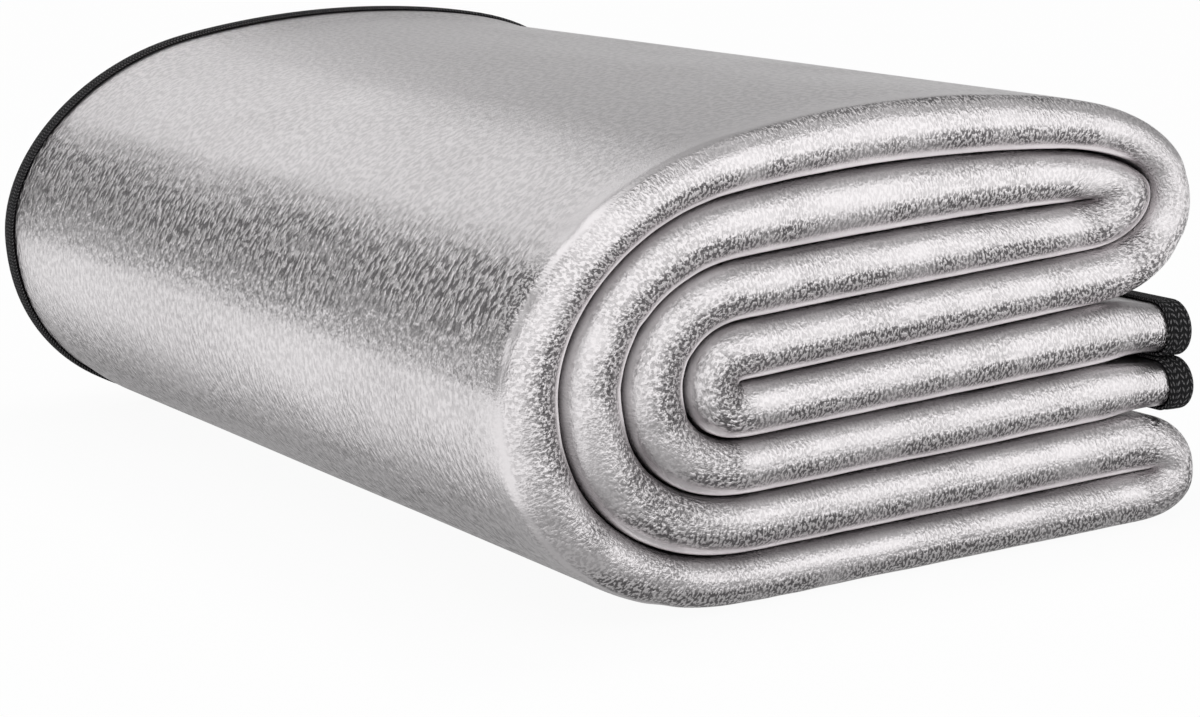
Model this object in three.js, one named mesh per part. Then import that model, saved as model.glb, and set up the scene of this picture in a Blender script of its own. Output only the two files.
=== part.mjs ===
// Foil picnic mat: one foam sheet with foil on both faces, bound in tape, halved across its width
// and then folded back and forth into eight double layers that lie on each other.
//
// Units are millimetres and +Z is up. The section of the folds lies in X and Z, and the layers run
// back along +Y from the rounded fold that halves the mat to its bound long edges. Sizes below are
// in the section's own frame: x is 5 where the left bends begin and z is 0 on the ground. The
// finished group is moved so that its origin is under the middle of the stack, on the ground.
import * as THREE from 'three';

// ---- Driving sizes --------------------------------------------------------------------------

const DEPTH = 497; // from the halving fold to the outside of the bound long edges
const LAYER_GAP = 0.8; // between one layer and the next
const LEAF_GAP = 0.6; // between the two leaves of a layer
const FOLD_ROUND = 9.7; // how far back the halving fold's round nose reaches

const TAPE_WIDTH = 10.5; // on each face of the mat
const TAPE_THICKNESS = 1.2;
const TAPE_CLEARANCE = 0.45; // between the tape and the leaf that it holds
const TAPE_CORNER = 2; // bevel at the tape's outer corners
const TAPE_CLOSED = 0.1; // what is left of a long tape's hollow at its two closed ends
const TAPE_SEAT = TAPE_THICKNESS + TAPE_CLEARANCE; // how much the tape thins the leaf, each side

const PINCH_LENGTH = 30; // stretch in which a leaf thins towards its tape
const FLARE_HEIGHT = 0.025; // growth of the stack where the long edges' tape thickens it
const FLARE_WIDTH = 0.006;

const END_X = 187.5; // outside of the tape at the mat's two short ends
const END_START = 158; // where the free ends begin to droop
const LEAF_END_X = END_X - TAPE_SEAT;
const END_TAPE_X = END_X - TAPE_WIDTH;
const SEAM_CLEARANCE = 0.3; // between an end's tape and the long edges' tapes

const NOSE_STEPS = 8; // facets round the halving fold

// ---- The folds ------------------------------------------------------------------------------

// Where the three heights of a crease are taken.
const CREASE_X = { left: 5, middle: 80, right: 155 };

// The nine lines that bound and part the eight layers, from the top face down to the ground.
// droop is how far a line has come down at the outside of the free ends.
const CREASES = [
  { name: 'top face', left: 158.8, middle: 163.0, right: 153.4, droop: 0 },
  { name: 'under layer 1', left: 139.4, middle: 142.2, right: 136.0, droop: 0 },
  { name: 'under layer 2', left: 117.4, middle: 119.5, right: 118.9, droop: 0 },
  { name: 'under layer 3', left: 96.7, middle: 99.3, right: 101.4, droop: 0 },
  { name: 'under layer 4', left: 76.3, middle: 79.0, right: 82.0, droop: -5.0 },
  { name: 'under layer 5', left: 56.8, middle: 58.4, right: 60.0, droop: -3.0 },
  { name: 'under layer 6', left: 37.5, middle: 38.5, right: 39.7, droop: -2.2 },
  { name: 'under layer 7', left: 17.5, middle: 18.0, right: 18.6, droop: 0 },
  { name: 'ground', left: -0.4, middle: -0.4, right: -0.4, droop: 0 },
];

// Lines that turn from one crease into another. Each leaves its upper crease at startUpper, passes
// its farthest point (apexX, apexZ) and joins its lower crease at startLower. powerUpper and
// powerLower shape the two halves: 1 is an ellipse, and less than 1 is a squarer turn.
const TURNS = Object.fromEntries([
  // name, upper, lower, startUpper, startLower, apexX, apexZ, powerUpper, powerLower
  ['leftTip', 4, 4, 5, 5, 4.2, 76.3, 1, 1],
  ['left1', 3, 5, 5, 5, -17.5, 76, 0.98, 0.92],
  ['left2', 2, 6, 5, 5, -40.6, 77, 1.02, 0.92],
  ['left3', 1, 7, 5, 5, -63.9, 78, 1.04, 0.92],
  ['left4', 0, 8, 5, 5, -87, 78, 1, 0.92],
  ['innerTip', 2, 2, 126, 140, 155, 118.9, 1, 1],
  ['innerOut', 1, 3, 128, 148, 175.4, 119, 0.88, 1],
  ['outerIn', 1, 3, 142, 148, 176.6, 116, 0.86, 0.95],
  ['outerOut', 0, 4, 128, 154, 192.8, 115.7, 0.81, 0.95],
  ['lowerTip', 7, 7, 160, 163, 171.7, 18.8, 1, 1],
  ['lowerOut', 6, 8, 160, 166, 190.7, 17, 0.95, 0.88],
].map(([name, upper, lower, startUpper, startLower, apexX, apexZ, powerUpper, powerLower]) => [
  name,
  { upper, lower, startUpper, startLower, apexX, apexZ, powerUpper, powerLower },
]));

// The mat's way through the stack, from one short end to the other. plus and minus are the lines
// on the left and right hand of the way: creases by number along a run, turns by name round a bend.
const ROUTE = [
  { kind: 'end', plus: 5, minus: 4 },
  { kind: 'run', plus: 5, minus: 4, steps: 3 },
  { kind: 'bend', plus: 'left1', minus: 'leftTip', rising: true, steps: 8 },
  { kind: 'run', plus: 3, minus: 4, steps: 3 },
  { kind: 'bend', plus: 'outerIn', minus: 'outerOut', rising: true, steps: 10 },
  { kind: 'run', plus: 1, minus: 0, steps: 4 },
  { kind: 'bend', plus: 'left3', minus: 'left4', rising: false, steps: 16 },
  { kind: 'run', plus: 7, minus: 8, steps: 2 },
  { kind: 'bend', plus: 'lowerTip', minus: 'lowerOut', rising: true, steps: 8 },
  { kind: 'run', plus: 7, minus: 6, steps: 2 },
  { kind: 'bend', plus: 'left3', minus: 'left2', rising: true, steps: 14 },
  { kind: 'run', plus: 1, minus: 2, steps: 4 },
  { kind: 'bend', plus: 'innerOut', minus: 'innerTip', rising: false, steps: 8 },
  { kind: 'run', plus: 3, minus: 2, steps: 3 },
  { kind: 'bend', plus: 'left1', minus: 'left2', rising: false, steps: 10 },
  { kind: 'run', plus: 5, minus: 6, steps: 3 },
  { kind: 'end', plus: 5, minus: 6 },
];

// ---- Lines of the section -------------------------------------------------------------------

const smooth = (t) => {
  const s = Math.min(1, Math.max(0, t));
  return s * s * (3 - 2 * s);
};

const mix = (a, b, t) => a + (b - a) * t;

/** The two terms of a crease's parabola about its middle height, per unit of t. */
function creaseTerms(crease) {
  const tilt = (crease.right - crease.left) / 2;
  const bow = (crease.right + crease.left) / 2 - crease.middle;
  return { tilt, bow };
}

const creaseT = (x) => (x - CREASE_X.middle) / (CREASE_X.right - CREASE_X.middle);

/** Height of a crease at x: a parabola through its three heights, drooping at the free ends. */
function creaseHeight(index, x) {
  const crease = CREASES[index];
  const { tilt, bow } = creaseTerms(crease);
  const t = creaseT(x);
  const droop = crease.droop * smooth((x - END_START) / (END_X - END_START));
  return crease.middle + tilt * t + bow * t * t + droop;
}

/** Slope of a crease at x, away from the free ends. */
function creaseSlope(index, x) {
  const { tilt, bow } = creaseTerms(CREASES[index]);
  return (tilt + 2 * bow * creaseT(x)) / (CREASE_X.right - CREASE_X.middle);
}

/**
 * Point of a turn at s, 0 on its upper crease and 1 on its lower one. Each half is a quarter of a
 * sheared ellipse, which leaves the crease along its slope and is upright at the farthest point.
 */
function turnPoint(name, s) {
  const turn = TURNS[name];
  const upperHalf = s < 0.5;
  const crease = upperHalf ? turn.upper : turn.lower;
  const startX = upperHalf ? turn.startUpper : turn.startLower;
  const reach = turn.apexX - startX;
  const shear = creaseSlope(crease, startX) * reach;
  const level = turn.apexZ - shear;
  const power = upperHalf ? turn.powerUpper : turn.powerLower;
  const along = Math.sin(Math.PI * s) ** power;
  const across = Math.abs(Math.cos(Math.PI * s)) ** power;
  return new THREE.Vector2(
    startX + reach * along,
    level + (creaseHeight(crease, startX) - level) * across + shear * along,
  );
}

/** Where a bend of the route meets the run before or after it, on its plus or minus line. */
function bendEndX(bend, side, atStart) {
  const turn = TURNS[bend[side]];
  return atStart === bend.rising ? turn.startLower : turn.startUpper;
}

/** x of a run's plus or minus line at its first and last station. */
function runSpan(index, side) {
  const before = ROUTE[index - 1];
  const after = ROUTE[index + 1];
  return {
    from: before.kind === 'bend' ? bendEndX(before, side, false) : END_START,
    to: after.kind === 'bend' ? bendEndX(after, side, true) : END_START,
  };
}

// ---- Stations along the mat -----------------------------------------------------------------

/**
 * Both lines of a free end's section at x, how far the end's tape pinches the leaves there, and
 * spread 0, because the flare leaves the free ends' length alone.
 */
function endStation(row, x) {
  const pinchEnd = END_TAPE_X - SEAM_CLEARANCE;
  return {
    plus: new THREE.Vector2(x, creaseHeight(row.plus, x)),
    minus: new THREE.Vector2(x, creaseHeight(row.minus, x)),
    pinch: smooth((x - (pinchEnd - PINCH_LENGTH)) / PINCH_LENGTH),
    spread: 0,
  };
}

/** Stations of one free end, from its run outwards, at the x places given. */
const endStations = (row, places) => places.map((x) => endStation(row, x));

/** Stations of a run, without its last one. */
function runStations(row, index) {
  const plus = runSpan(index, 'plus');
  const minus = runSpan(index, 'minus');
  return Array.from({ length: row.steps }, (_, i) => {
    const s = i / row.steps;
    const plusX = mix(plus.from, plus.to, s);
    const minusX = mix(minus.from, minus.to, s);
    return {
      plus: new THREE.Vector2(plusX, creaseHeight(row.plus, plusX)),
      minus: new THREE.Vector2(minusX, creaseHeight(row.minus, minusX)),
      pinch: endStation(row, (plusX + minusX) / 2).pinch,
      spread: 1,
    };
  });
}

/** Stations of a bend, without its last one. */
function bendStations(row) {
  return Array.from({ length: row.steps }, (_, i) => {
    const s = row.rising ? 1 - i / row.steps : i / row.steps;
    return { plus: turnPoint(row.plus, s), minus: turnPoint(row.minus, s), pinch: 0, spread: 1 };
  });
}

/** Adds to each station its middle, and the way from there to the plus face of the layer. */
function finishStations(stations) {
  const middles = stations.map(({ plus, minus }) => plus.clone().add(minus).multiplyScalar(0.5));
  return stations.map((station, i) => {
    const ahead = middles[Math.min(i + 1, middles.length - 1)];
    const behind = middles[Math.max(i - 1, 0)];
    const travel = ahead.clone().sub(behind).normalize();
    const reach = station.plus.clone().sub(station.minus).multiplyScalar(0.5);
    const half = Math.abs(reach.cross(travel));
    const inside = half - LAYER_GAP / 2;
    return { ...station, middle: middles[i], reach: reach.multiplyScalar(inside / half), half: inside };
  });
}

/** All stations from one short end to the other. endPlaces are the x places on each free end. */
function routeStations(endPlaces) {
  const stations = ROUTE.flatMap((row, index) => {
    if (row.kind === 'run') return runStations(row, index);
    if (row.kind === 'bend') return bendStations(row);
    const out = endStations(row, endPlaces);
    return index === 0 ? out.slice(1).reverse() : out;
  });
  return finishStations(stations);
}

// ---- From section to space ------------------------------------------------------------------

const SPAN = { left: TURNS.left4.apexX, right: TURNS.outerOut.apexX };
const CENTRE_X = (SPAN.left + SPAN.right) / 2;
const TAPE_NEAR_Y = DEPTH - TAPE_WIDTH;
const PINCH_END_Y = TAPE_NEAR_Y - SEAM_CLEARANCE;
const PINCH_START_Y = PINCH_END_Y - PINCH_LENGTH;

/** A point at depth y and at n mm from a station's middle towards its plus face. */
function place(station, y, n) {
  const at = station.middle.clone().addScaledVector(station.reach, n / station.half);
  const flare = smooth((y - PINCH_START_Y) / PINCH_LENGTH);
  return new THREE.Vector3(
    (at.x - CENTRE_X) * (1 + FLARE_WIDTH * flare * station.spread),
    y - DEPTH / 2,
    at.y * (1 + FLARE_HEIGHT * flare),
  );
}

/** The triangles that fill a flat ring, all turned against the order of the ring's points. */
function capTriangles(ring, flatten) {
  const outline = ring.map(flatten);
  const caps = THREE.ShapeUtils.triangulateShape(outline, []);
  return THREE.ShapeUtils.isClockWise(outline) ? caps : caps.map(([a, b, c]) => [c, b, a]);
}

/** A closed solid through rings of points. flatten gives a point's place in the end rings' plane. */
function solidThrough(rings, flatten) {
  const count = rings[0].length;
  const positions = rings.flat().flatMap((point) => point.toArray());
  const triangles = [];
  for (let ring = 0; ring + 1 < rings.length; ring += 1) {
    for (let i = 0; i < count; i += 1) {
      const a = ring * count + i;
      const b = ring * count + ((i + 1) % count);
      triangles.push([a, b, b + count], [a, b + count, a + count]);
    }
  }
  const last = (rings.length - 1) * count;
  triangles.push(...capTriangles(rings[0], flatten));
  for (const [a, b, c] of capTriangles(rings[rings.length - 1], flatten)) {
    triangles.push([last + c, last + b, last + a]);
  }
  const geometry = new THREE.BufferGeometry();
  geometry.setAttribute('position', new THREE.Float32BufferAttribute(positions, 3));
  geometry.setIndex(facingOut(triangles, positions).flat());
  geometry.computeVertexNormals();
  return geometry;
}

/** The triangles as they are, or all turned over if they enclose a negative volume. */
function facingOut(triangles, positions) {
  const corner = (i) => new THREE.Vector3().fromArray(positions, 3 * i);
  let volume = 0;
  for (const [a, b, c] of triangles) volume += corner(a).dot(corner(b).cross(corner(c)));
  return volume > 0 ? triangles : triangles.map(([a, b, c]) => [a, c, b]);
}

/** Both signs of the halving fold's round nose, as angles from its front. */
const noseAngles = Array.from({ length: NOSE_STEPS + 1 }, (_, i) => Math.PI * (0.5 - i / NOSE_STEPS));

// ---- The mat --------------------------------------------------------------------------------

/** Outline of the halved sheet at a station: two leaves joined by the round fold at the front. */
function matOutline(station) {
  const outer = (pinch) => station.half - TAPE_SEAT * pinch;
  const inner = (pinch) => LEAF_GAP / 2 + TAPE_SEAT * pinch;
  const { pinch } = station;
  const front = TAPE_SEAT * pinch;
  const leafEnd = DEPTH - TAPE_SEAT;
  const leaf = (side, face) => [
    [leafEnd, side * face(1)],
    [PINCH_END_Y, side * face(1)],
    [PINCH_START_Y, side * face(pinch)],
  ];
  const nose = noseAngles.map((angle) => [
    front + (FOLD_ROUND - front) * (1 - Math.cos(angle)),
    outer(pinch) * Math.sin(angle),
  ]);
  const slotEnd = [
    [FOLD_ROUND - inner(pinch), -inner(pinch)],
    [FOLD_ROUND - inner(pinch), inner(pinch)],
  ];
  return [
    ...leaf(1, outer),
    ...nose,
    ...leaf(-1, outer).reverse(),
    ...leaf(-1, inner),
    ...slotEnd,
    ...leaf(1, inner).reverse(),
  ];
}

function foilMat() {
  const places = [END_START, mix(END_START, END_TAPE_X, 0.5), END_TAPE_X, LEAF_END_X];
  const stations = routeStations(places);
  const outlines = stations.map(matOutline);
  const rings = stations.map((station, i) => outlines[i].map(([y, n]) => place(station, y, n)));
  return solidThrough(rings, ({ y, z }) => new THREE.Vector2(y, z));
}

// ---- The tapes ------------------------------------------------------------------------------

/** Outline of the long edge's tape over the leaf on one side, open hollow mm deep at the front. */
function longTapeOutline(station, side, hollow) {
  const far = station.half;
  const near = LEAF_GAP / 2;
  return [
    [TAPE_NEAR_Y, far],
    [DEPTH - TAPE_CORNER, far],
    [DEPTH, far - TAPE_CORNER],
    [DEPTH, near + TAPE_CORNER],
    [DEPTH - TAPE_CORNER, near],
    [TAPE_NEAR_Y, near],
    [TAPE_NEAR_Y, near + TAPE_THICKNESS],
    [TAPE_NEAR_Y + hollow, near + TAPE_THICKNESS],
    [TAPE_NEAR_Y + hollow, far - TAPE_THICKNESS],
    [TAPE_NEAR_Y, far - TAPE_THICKNESS],
  ].map(([y, n]) => [y, side * n]);
}

/** The tape along one whole long edge, closed over the leaf's corner at each short end. */
function longTape(side) {
  const hollow = TAPE_WIDTH - TAPE_THICKNESS;
  const places = [END_START, mix(END_START, END_TAPE_X, 0.5), END_TAPE_X, END_X - TAPE_THICKNESS];
  const stations = routeStations([...places, END_X]);
  const outlines = stations.map((station, i) => {
    const atEnd = i === 0 || i === stations.length - 1;
    return longTapeOutline(station, side, atEnd ? TAPE_CLOSED : hollow);
  });
  const rings = stations.map((station, i) => outlines[i].map(([y, n]) => place(station, y, n)));
  return solidThrough(rings, ({ y, z }) => new THREE.Vector2(y, z));
}

// The four faces of an end's tape: both faces of its outer and its inner arm. Each is a hairpin
// that runs along the leaves and round the front fold: how far it lies from a layer's middle, and
// the radius that it has at the fold.
const END_TAPE_FACES = {
  outerFace: { fromMiddle: (half) => half, round: FOLD_ROUND },
  outerBack: { fromMiddle: (half) => half - TAPE_THICKNESS, round: FOLD_ROUND - TAPE_THICKNESS },
  innerBack: { fromMiddle: () => LEAF_GAP / 2 + TAPE_THICKNESS, round: LEAF_GAP / 2 + TAPE_THICKNESS },
  innerFace: { fromMiddle: () => LEAF_GAP / 2, round: LEAF_GAP / 2 },
};

// The U of an end's tape: its corners along the mat, and between which faces each one lies.
const END_TAPE_U = [
  { x: END_TAPE_X, face: 'outerFace', inset: 0 },
  { x: END_X - TAPE_CORNER, face: 'outerFace', inset: 0 },
  { x: END_X, face: 'outerFace', inset: TAPE_CORNER },
  { x: END_X, face: 'innerFace', inset: -TAPE_CORNER },
  { x: END_X - TAPE_CORNER, face: 'innerFace', inset: 0 },
  { x: END_TAPE_X, face: 'innerFace', inset: 0 },
  { x: END_TAPE_X, face: 'innerBack', inset: 0 },
  { x: END_X - TAPE_THICKNESS, face: 'innerBack', inset: 0 },
  { x: END_X - TAPE_THICKNESS, face: 'outerBack', inset: 0 },
  { x: END_TAPE_X, face: 'outerBack', inset: 0 },
];

/** The tape over one short end, which follows the halved leaf round the front fold. */
function endTape(row) {
  const stationAt = (x) => finishStations([endStation(row, x - 1), endStation(row, x)])[1];
  const corners = END_TAPE_U.map(({ x, face, inset }) => {
    const station = stationAt(x);
    const { fromMiddle, round } = END_TAPE_FACES[face];
    return { station, n: fromMiddle(station.half) - inset, round: round - inset };
  });
  const straight = (y, side) => corners.map(({ station, n }) => place(station, y, side * n));
  const nosePoint = ({ station, n, round }, angle) =>
    place(station, FOLD_ROUND - round * Math.cos(angle), n * Math.sin(angle));
  const farY = TAPE_NEAR_Y - SEAM_CLEARANCE;
  const rings = [
    straight(farY, 1),
    straight(PINCH_START_Y, 1),
    ...noseAngles.map((angle) => corners.map((corner) => nosePoint(corner, angle))),
    straight(PINCH_START_Y, -1),
    straight(farY, -1),
  ];
  return solidThrough(rings, ({ x, z }) => new THREE.Vector2(x, z));
}

// ---- The group ------------------------------------------------------------------------------

const foil = { color: 0xc6c3c4, roughness: 0.35, metalness: 0.9 };
const tape = { color: 0x161618, roughness: 0.85, metalness: 0 };

function addPiece(group, name, geometry, finish) {
  const mesh = new THREE.Mesh(geometry, new THREE.MeshStandardMaterial(finish));
  mesh.name = name;
  group.add(mesh);
}

const mat = new THREE.Group();
addPiece(mat, 'foil_mat', foilMat(), foil);
addPiece(mat, 'long_tape_inner', longTape(1), tape);
addPiece(mat, 'long_tape_outer', longTape(-1), tape);
addPiece(mat, 'end_tape_upper', endTape(ROUTE[0]), tape);
addPiece(mat, 'end_tape_lower', endTape(ROUTE[ROUTE.length - 1]), tape);

export default mat;
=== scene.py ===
"""A folded foil picnic mat: a foil-faced foam sheet with bound edges, halved and folded up.

The sheet is halved across its width and then folded back and forth into eight layers of two leaves.
Its section, in X and Z, lies between nine creases and the turns that join them, and the layers run
back along Y from the round fold at the front to the bound long edges. The tables of the section are
in millimetres in the section's own frame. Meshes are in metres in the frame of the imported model.
"""
import logging
from collections.abc import Sequence
from dataclasses import dataclass, field, fields
from enum import Enum

import bpy
import numpy as np
from mathutils import Matrix, Vector


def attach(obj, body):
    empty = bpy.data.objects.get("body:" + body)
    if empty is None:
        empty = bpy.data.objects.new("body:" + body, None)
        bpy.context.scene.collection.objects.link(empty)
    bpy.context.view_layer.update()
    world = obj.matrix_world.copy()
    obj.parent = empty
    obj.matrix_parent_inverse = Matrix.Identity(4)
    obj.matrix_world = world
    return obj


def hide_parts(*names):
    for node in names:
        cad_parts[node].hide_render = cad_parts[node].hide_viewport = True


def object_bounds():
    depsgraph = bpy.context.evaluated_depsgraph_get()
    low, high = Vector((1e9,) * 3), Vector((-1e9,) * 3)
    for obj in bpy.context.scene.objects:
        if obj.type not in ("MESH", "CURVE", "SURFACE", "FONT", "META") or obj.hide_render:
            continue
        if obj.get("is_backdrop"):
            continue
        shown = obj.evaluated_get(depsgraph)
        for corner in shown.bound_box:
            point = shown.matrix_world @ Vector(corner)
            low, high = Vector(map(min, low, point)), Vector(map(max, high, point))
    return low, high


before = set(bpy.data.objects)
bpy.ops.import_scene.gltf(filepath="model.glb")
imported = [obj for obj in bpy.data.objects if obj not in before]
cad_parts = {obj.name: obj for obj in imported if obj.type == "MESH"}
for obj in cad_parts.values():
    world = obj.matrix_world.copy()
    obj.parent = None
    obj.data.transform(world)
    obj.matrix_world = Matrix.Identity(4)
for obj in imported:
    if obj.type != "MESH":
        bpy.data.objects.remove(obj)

Array = np.ndarray
Rgb = tuple[float, float, float]

MM = 0.001
BODY = "root"
LOG = logging.getLogger("picnic_mat")


# ---- Numbers and curves -------------------------------------------------------------------------


def smooth(t: Array | float) -> Array:
    """Smoothstep, 3 t squared less 2 t cubed, of t held between 0 and 1."""
    s = np.clip(t, 0.0, 1.0)
    return s * s * (3.0 - 2.0 * s)


@dataclass(frozen=True)
class Fade:
    """A soft step from 0 to 1.

    Attributes:
        start: Value at which it leaves 0.
        width: How much further on it reaches 1.
    """

    start: float
    width: float

    def at(self, value: Array | float) -> Array:
        """Smoothstep of how much of the width is past at each value."""
        return smooth((value - self.start) / self.width)


def arc_length(line: Array) -> Array:
    """Length along a polyline at each of its points.

    Args:
        line: Points as an (n, d) array.

    Returns:
        An (n,) array that starts at 0.
    """
    steps = np.linalg.norm(np.diff(line, axis=0), axis=1)
    return np.concatenate([[0.0], np.cumsum(steps)])


def eased(line: Array, reach: int) -> Array:
    """A line with each point moved to a bell-weighted mean of the points within reach of it.

    The line is carried on past its two ends by its own point reflection, so its ends stay put.

    Args:
        line: Points as an (n, d) array.
        reach: How many neighbours count on each side.

    Returns:
        The eased (n, d) line.
    """
    weights = np.hanning(2 * reach + 3)[1:-1]
    weights = weights / weights.sum()
    before = 2.0 * line[:1] - line[reach:0:-1]
    after = 2.0 * line[-1:] - line[-2 : -reach - 2 : -1]
    longer = np.concatenate([before, line, after])
    columns = [np.convolve(column, weights, "valid") for column in longer.T]
    return np.stack(columns, axis=1)


@dataclass(frozen=True)
class Unevenness:
    """Seeded random heights over the sheet, one for each corner of a lattice of cells.

    Attributes:
        cell_u: Cell size along the mat, in mm.
        cell_v: Cell size across the mat, in mm.
        seed: Which random heights.
    """

    cell_u: float
    cell_v: float
    seed: int

    @staticmethod
    def _weights(places: Array, cell: float) -> Array:
        """Share of each lattice line at each place: smoothstep between the two lines beside it.

        Args:
            places: Places in mm, (m,).
            cell: Distance between the lines, in mm.

        Returns:
            An (m, lines) array.
        """
        cells = places / cell
        first = np.floor(cells).astype(int)
        share = smooth(cells - first)
        lines = np.arange(int(first.max()) + 2)
        return np.where(lines == first[:, None], 1.0 - share[:, None], 0.0) + np.where(
            lines == first[:, None] + 1, share[:, None], 0.0
        )

    def heights(self, u: Array, v: Array) -> Array:
        """Heights from -1 to 1: lattice heights blended by the smoothstep weights of u and of v.

        Args:
            u: Places along the mat, (m,), in mm and not below 0.
            v: Places across the mat, (k,), in mm and not below 0.

        Returns:
            An (m, k) array.
        """
        weights_u = self._weights(u, self.cell_u)
        weights_v = self._weights(v, self.cell_v)
        shape = (weights_u.shape[1], weights_v.shape[1])
        lattice = np.random.default_rng(self.seed).uniform(-1.0, 1.0, shape)
        return weights_u @ lattice @ weights_v.T


# ---- The section of the folds -------------------------------------------------------------------


@dataclass(frozen=True)
class MatSizes:
    """Driving sizes of the mat and its tapes, in mm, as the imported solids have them, except that
    the soft layers lie closer together.

    Attributes:
        depth: Depth of the stack, from the front folds to the bound long edges.
        layer_gap: Gap between two layers.
        leaf_gap: Gap between the two leaves of a layer.
        fold_round: How far back the round of a front fold reaches.
        tape_width: Width of a tape on each face of its leaf.
        tape_thickness: Thickness of a tape.
        tape_clearance: Gap between a tape and the leaf in it.
        pinch_length: Length over which a leaf thins towards its tape.
        flare_height: Share by which the stack grows in height towards the bound long edges.
        flare_width: The same in width.
        end_x: Where the tapes of the mat's free ends end, from left to right.
        end_start: Where the free ends begin.
        seam_clearance: How far before a tape the leaf has its bound thickness.
        crease_middle: Where the creases have their middle heights.
        crease_right: Where they have their right heights.
    """

    depth: float = 497.0
    layer_gap: float = 0.35
    leaf_gap: float = 0.6
    fold_round: float = 9.7
    tape_width: float = 10.5
    tape_thickness: float = 1.2
    tape_clearance: float = 0.45
    pinch_length: float = 30.0
    flare_height: float = 0.025
    flare_width: float = 0.006
    end_x: float = 187.5
    end_start: float = 158.0
    seam_clearance: float = 0.3
    crease_middle: float = 80.0
    crease_right: float = 155.0

    @property
    def tape_seat(self) -> float:
        """How much a tape thins the leaf under it, on each side."""
        return self.tape_thickness + self.tape_clearance

    @property
    def leaf_end_x(self) -> float:
        """Where the foam ends inside the short ends' tapes."""
        return self.end_x - self.tape_seat

    @property
    def end_tape_x(self) -> float:
        """Where the short ends' tapes begin."""
        return self.end_x - self.tape_width

    @property
    def tape_near_y(self) -> float:
        """Where the long edges' tapes begin."""
        return self.depth - self.tape_width

    @property
    def pinch_end_y(self) -> float:
        """Where the leaves have thinned to what the long edges' tapes hold."""
        return self.tape_near_y - self.seam_clearance

    @property
    def pinch_start_y(self) -> float:
        """Where the leaves start to thin towards the long edges' tapes."""
        return self.pinch_end_y - self.pinch_length


SIZES = MatSizes()


@dataclass(frozen=True)
class Crease:
    """One of the lines that bound and part the layers.

    Attributes:
        left: Height where the left bends begin.
        middle: Height in the middle.
        right: Height where the right bends begin.
        droop: How far the line has come down at the outside of the mat's free ends.
    """

    left: float
    middle: float
    right: float
    droop: float = 0.0

    @property
    def tilt(self) -> float:
        """Half the rise from left to right."""
        return (self.right - self.left) / 2.0

    @property
    def bow(self) -> float:
        """How far the ends' mean lies above the middle."""
        return (self.right + self.left) / 2.0 - self.middle

    @staticmethod
    def _share(x: Array | float) -> Array | float:
        """Place along the crease, -1 at its left height and 1 at its right one."""
        return (x - SIZES.crease_middle) / (SIZES.crease_right - SIZES.crease_middle)

    def height(self, x: Array | float) -> Array:
        """Height at x: the parabola through the three heights, plus the droop of the free ends.

        Args:
            x: Place or places in mm, from left to right.

        Returns:
            The height there, in mm.
        """
        t = self._share(x)
        fall = smooth((x - SIZES.end_start) / (SIZES.end_x - SIZES.end_start))
        return self.middle + self.tilt * t + self.bow * t * t + self.droop * fall

    def slope(self, x: float) -> float:
        """Slope at x, away from the free ends: the parabola's derivative."""
        half_span = SIZES.crease_right - SIZES.crease_middle
        return (self.tilt + 2.0 * self.bow * self._share(x)) / half_span


# From the top face down to the ground.
CREASES = (
    Crease(158.8, 163.0, 153.4),
    Crease(139.4, 142.2, 136.0),
    Crease(117.4, 119.5, 118.9),
    Crease(96.7, 99.3, 101.4),
    Crease(76.3, 79.0, 82.0, droop=-5.0),
    Crease(56.8, 58.4, 60.0, droop=-3.0),
    Crease(37.5, 38.5, 39.7, droop=-2.2),
    Crease(17.5, 18.0, 18.6),
    Crease(-0.4, -0.4, -0.4),
)


@dataclass(frozen=True)
class Turn:
    """A line that turns from one crease into another.

    Attributes:
        upper: Number of the crease that it leaves.
        lower: Number of the crease that it joins.
        start_upper: Where it leaves the upper crease.
        start_lower: Where it joins the lower crease.
        apex_x: x of its farthest point.
        apex_z: Height of its farthest point.
        power_upper: Squareness of its upper half, 1 for an ellipse and less for a squarer turn.
        power_lower: The same for its lower half.
    """

    upper: int
    lower: int
    start_upper: float
    start_lower: float
    apex_x: float
    apex_z: float
    power_upper: float = 1.0
    power_lower: float = 1.0

    def points(self, s: Array) -> Array:
        """Points of the turn, s being 0 on the upper crease and 1 on the lower one.

        Each half is a quarter of a sheared ellipse, which leaves its crease along the crease's
        slope and is upright at the farthest point: x is start + reach sin(pi s)^power, and z is
        level + (crease height - level) cos(pi s)^power + shear sin(pi s)^power, where the shear
        is slope times reach and the level is the farthest point's height less the shear.

        Args:
            s: Shares of the way round, (m,).

        Returns:
            An (m, 2) array, in mm.
        """
        above = s < 0.5
        upper, lower = CREASES[self.upper], CREASES[self.lower]
        start = np.where(above, self.start_upper, self.start_lower)
        slope = np.where(above, upper.slope(self.start_upper), lower.slope(self.start_lower))
        rest = np.where(above, upper.height(self.start_upper), lower.height(self.start_lower))
        power = np.where(above, self.power_upper, self.power_lower)
        reach = self.apex_x - start
        shear = slope * reach
        level = self.apex_z - shear
        along = np.abs(np.sin(np.pi * s)) ** power
        across = np.abs(np.cos(np.pi * s)) ** power
        x = start + reach * along
        z = level + (rest - level) * across + shear * along
        return np.stack([x, z], axis=1)


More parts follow.
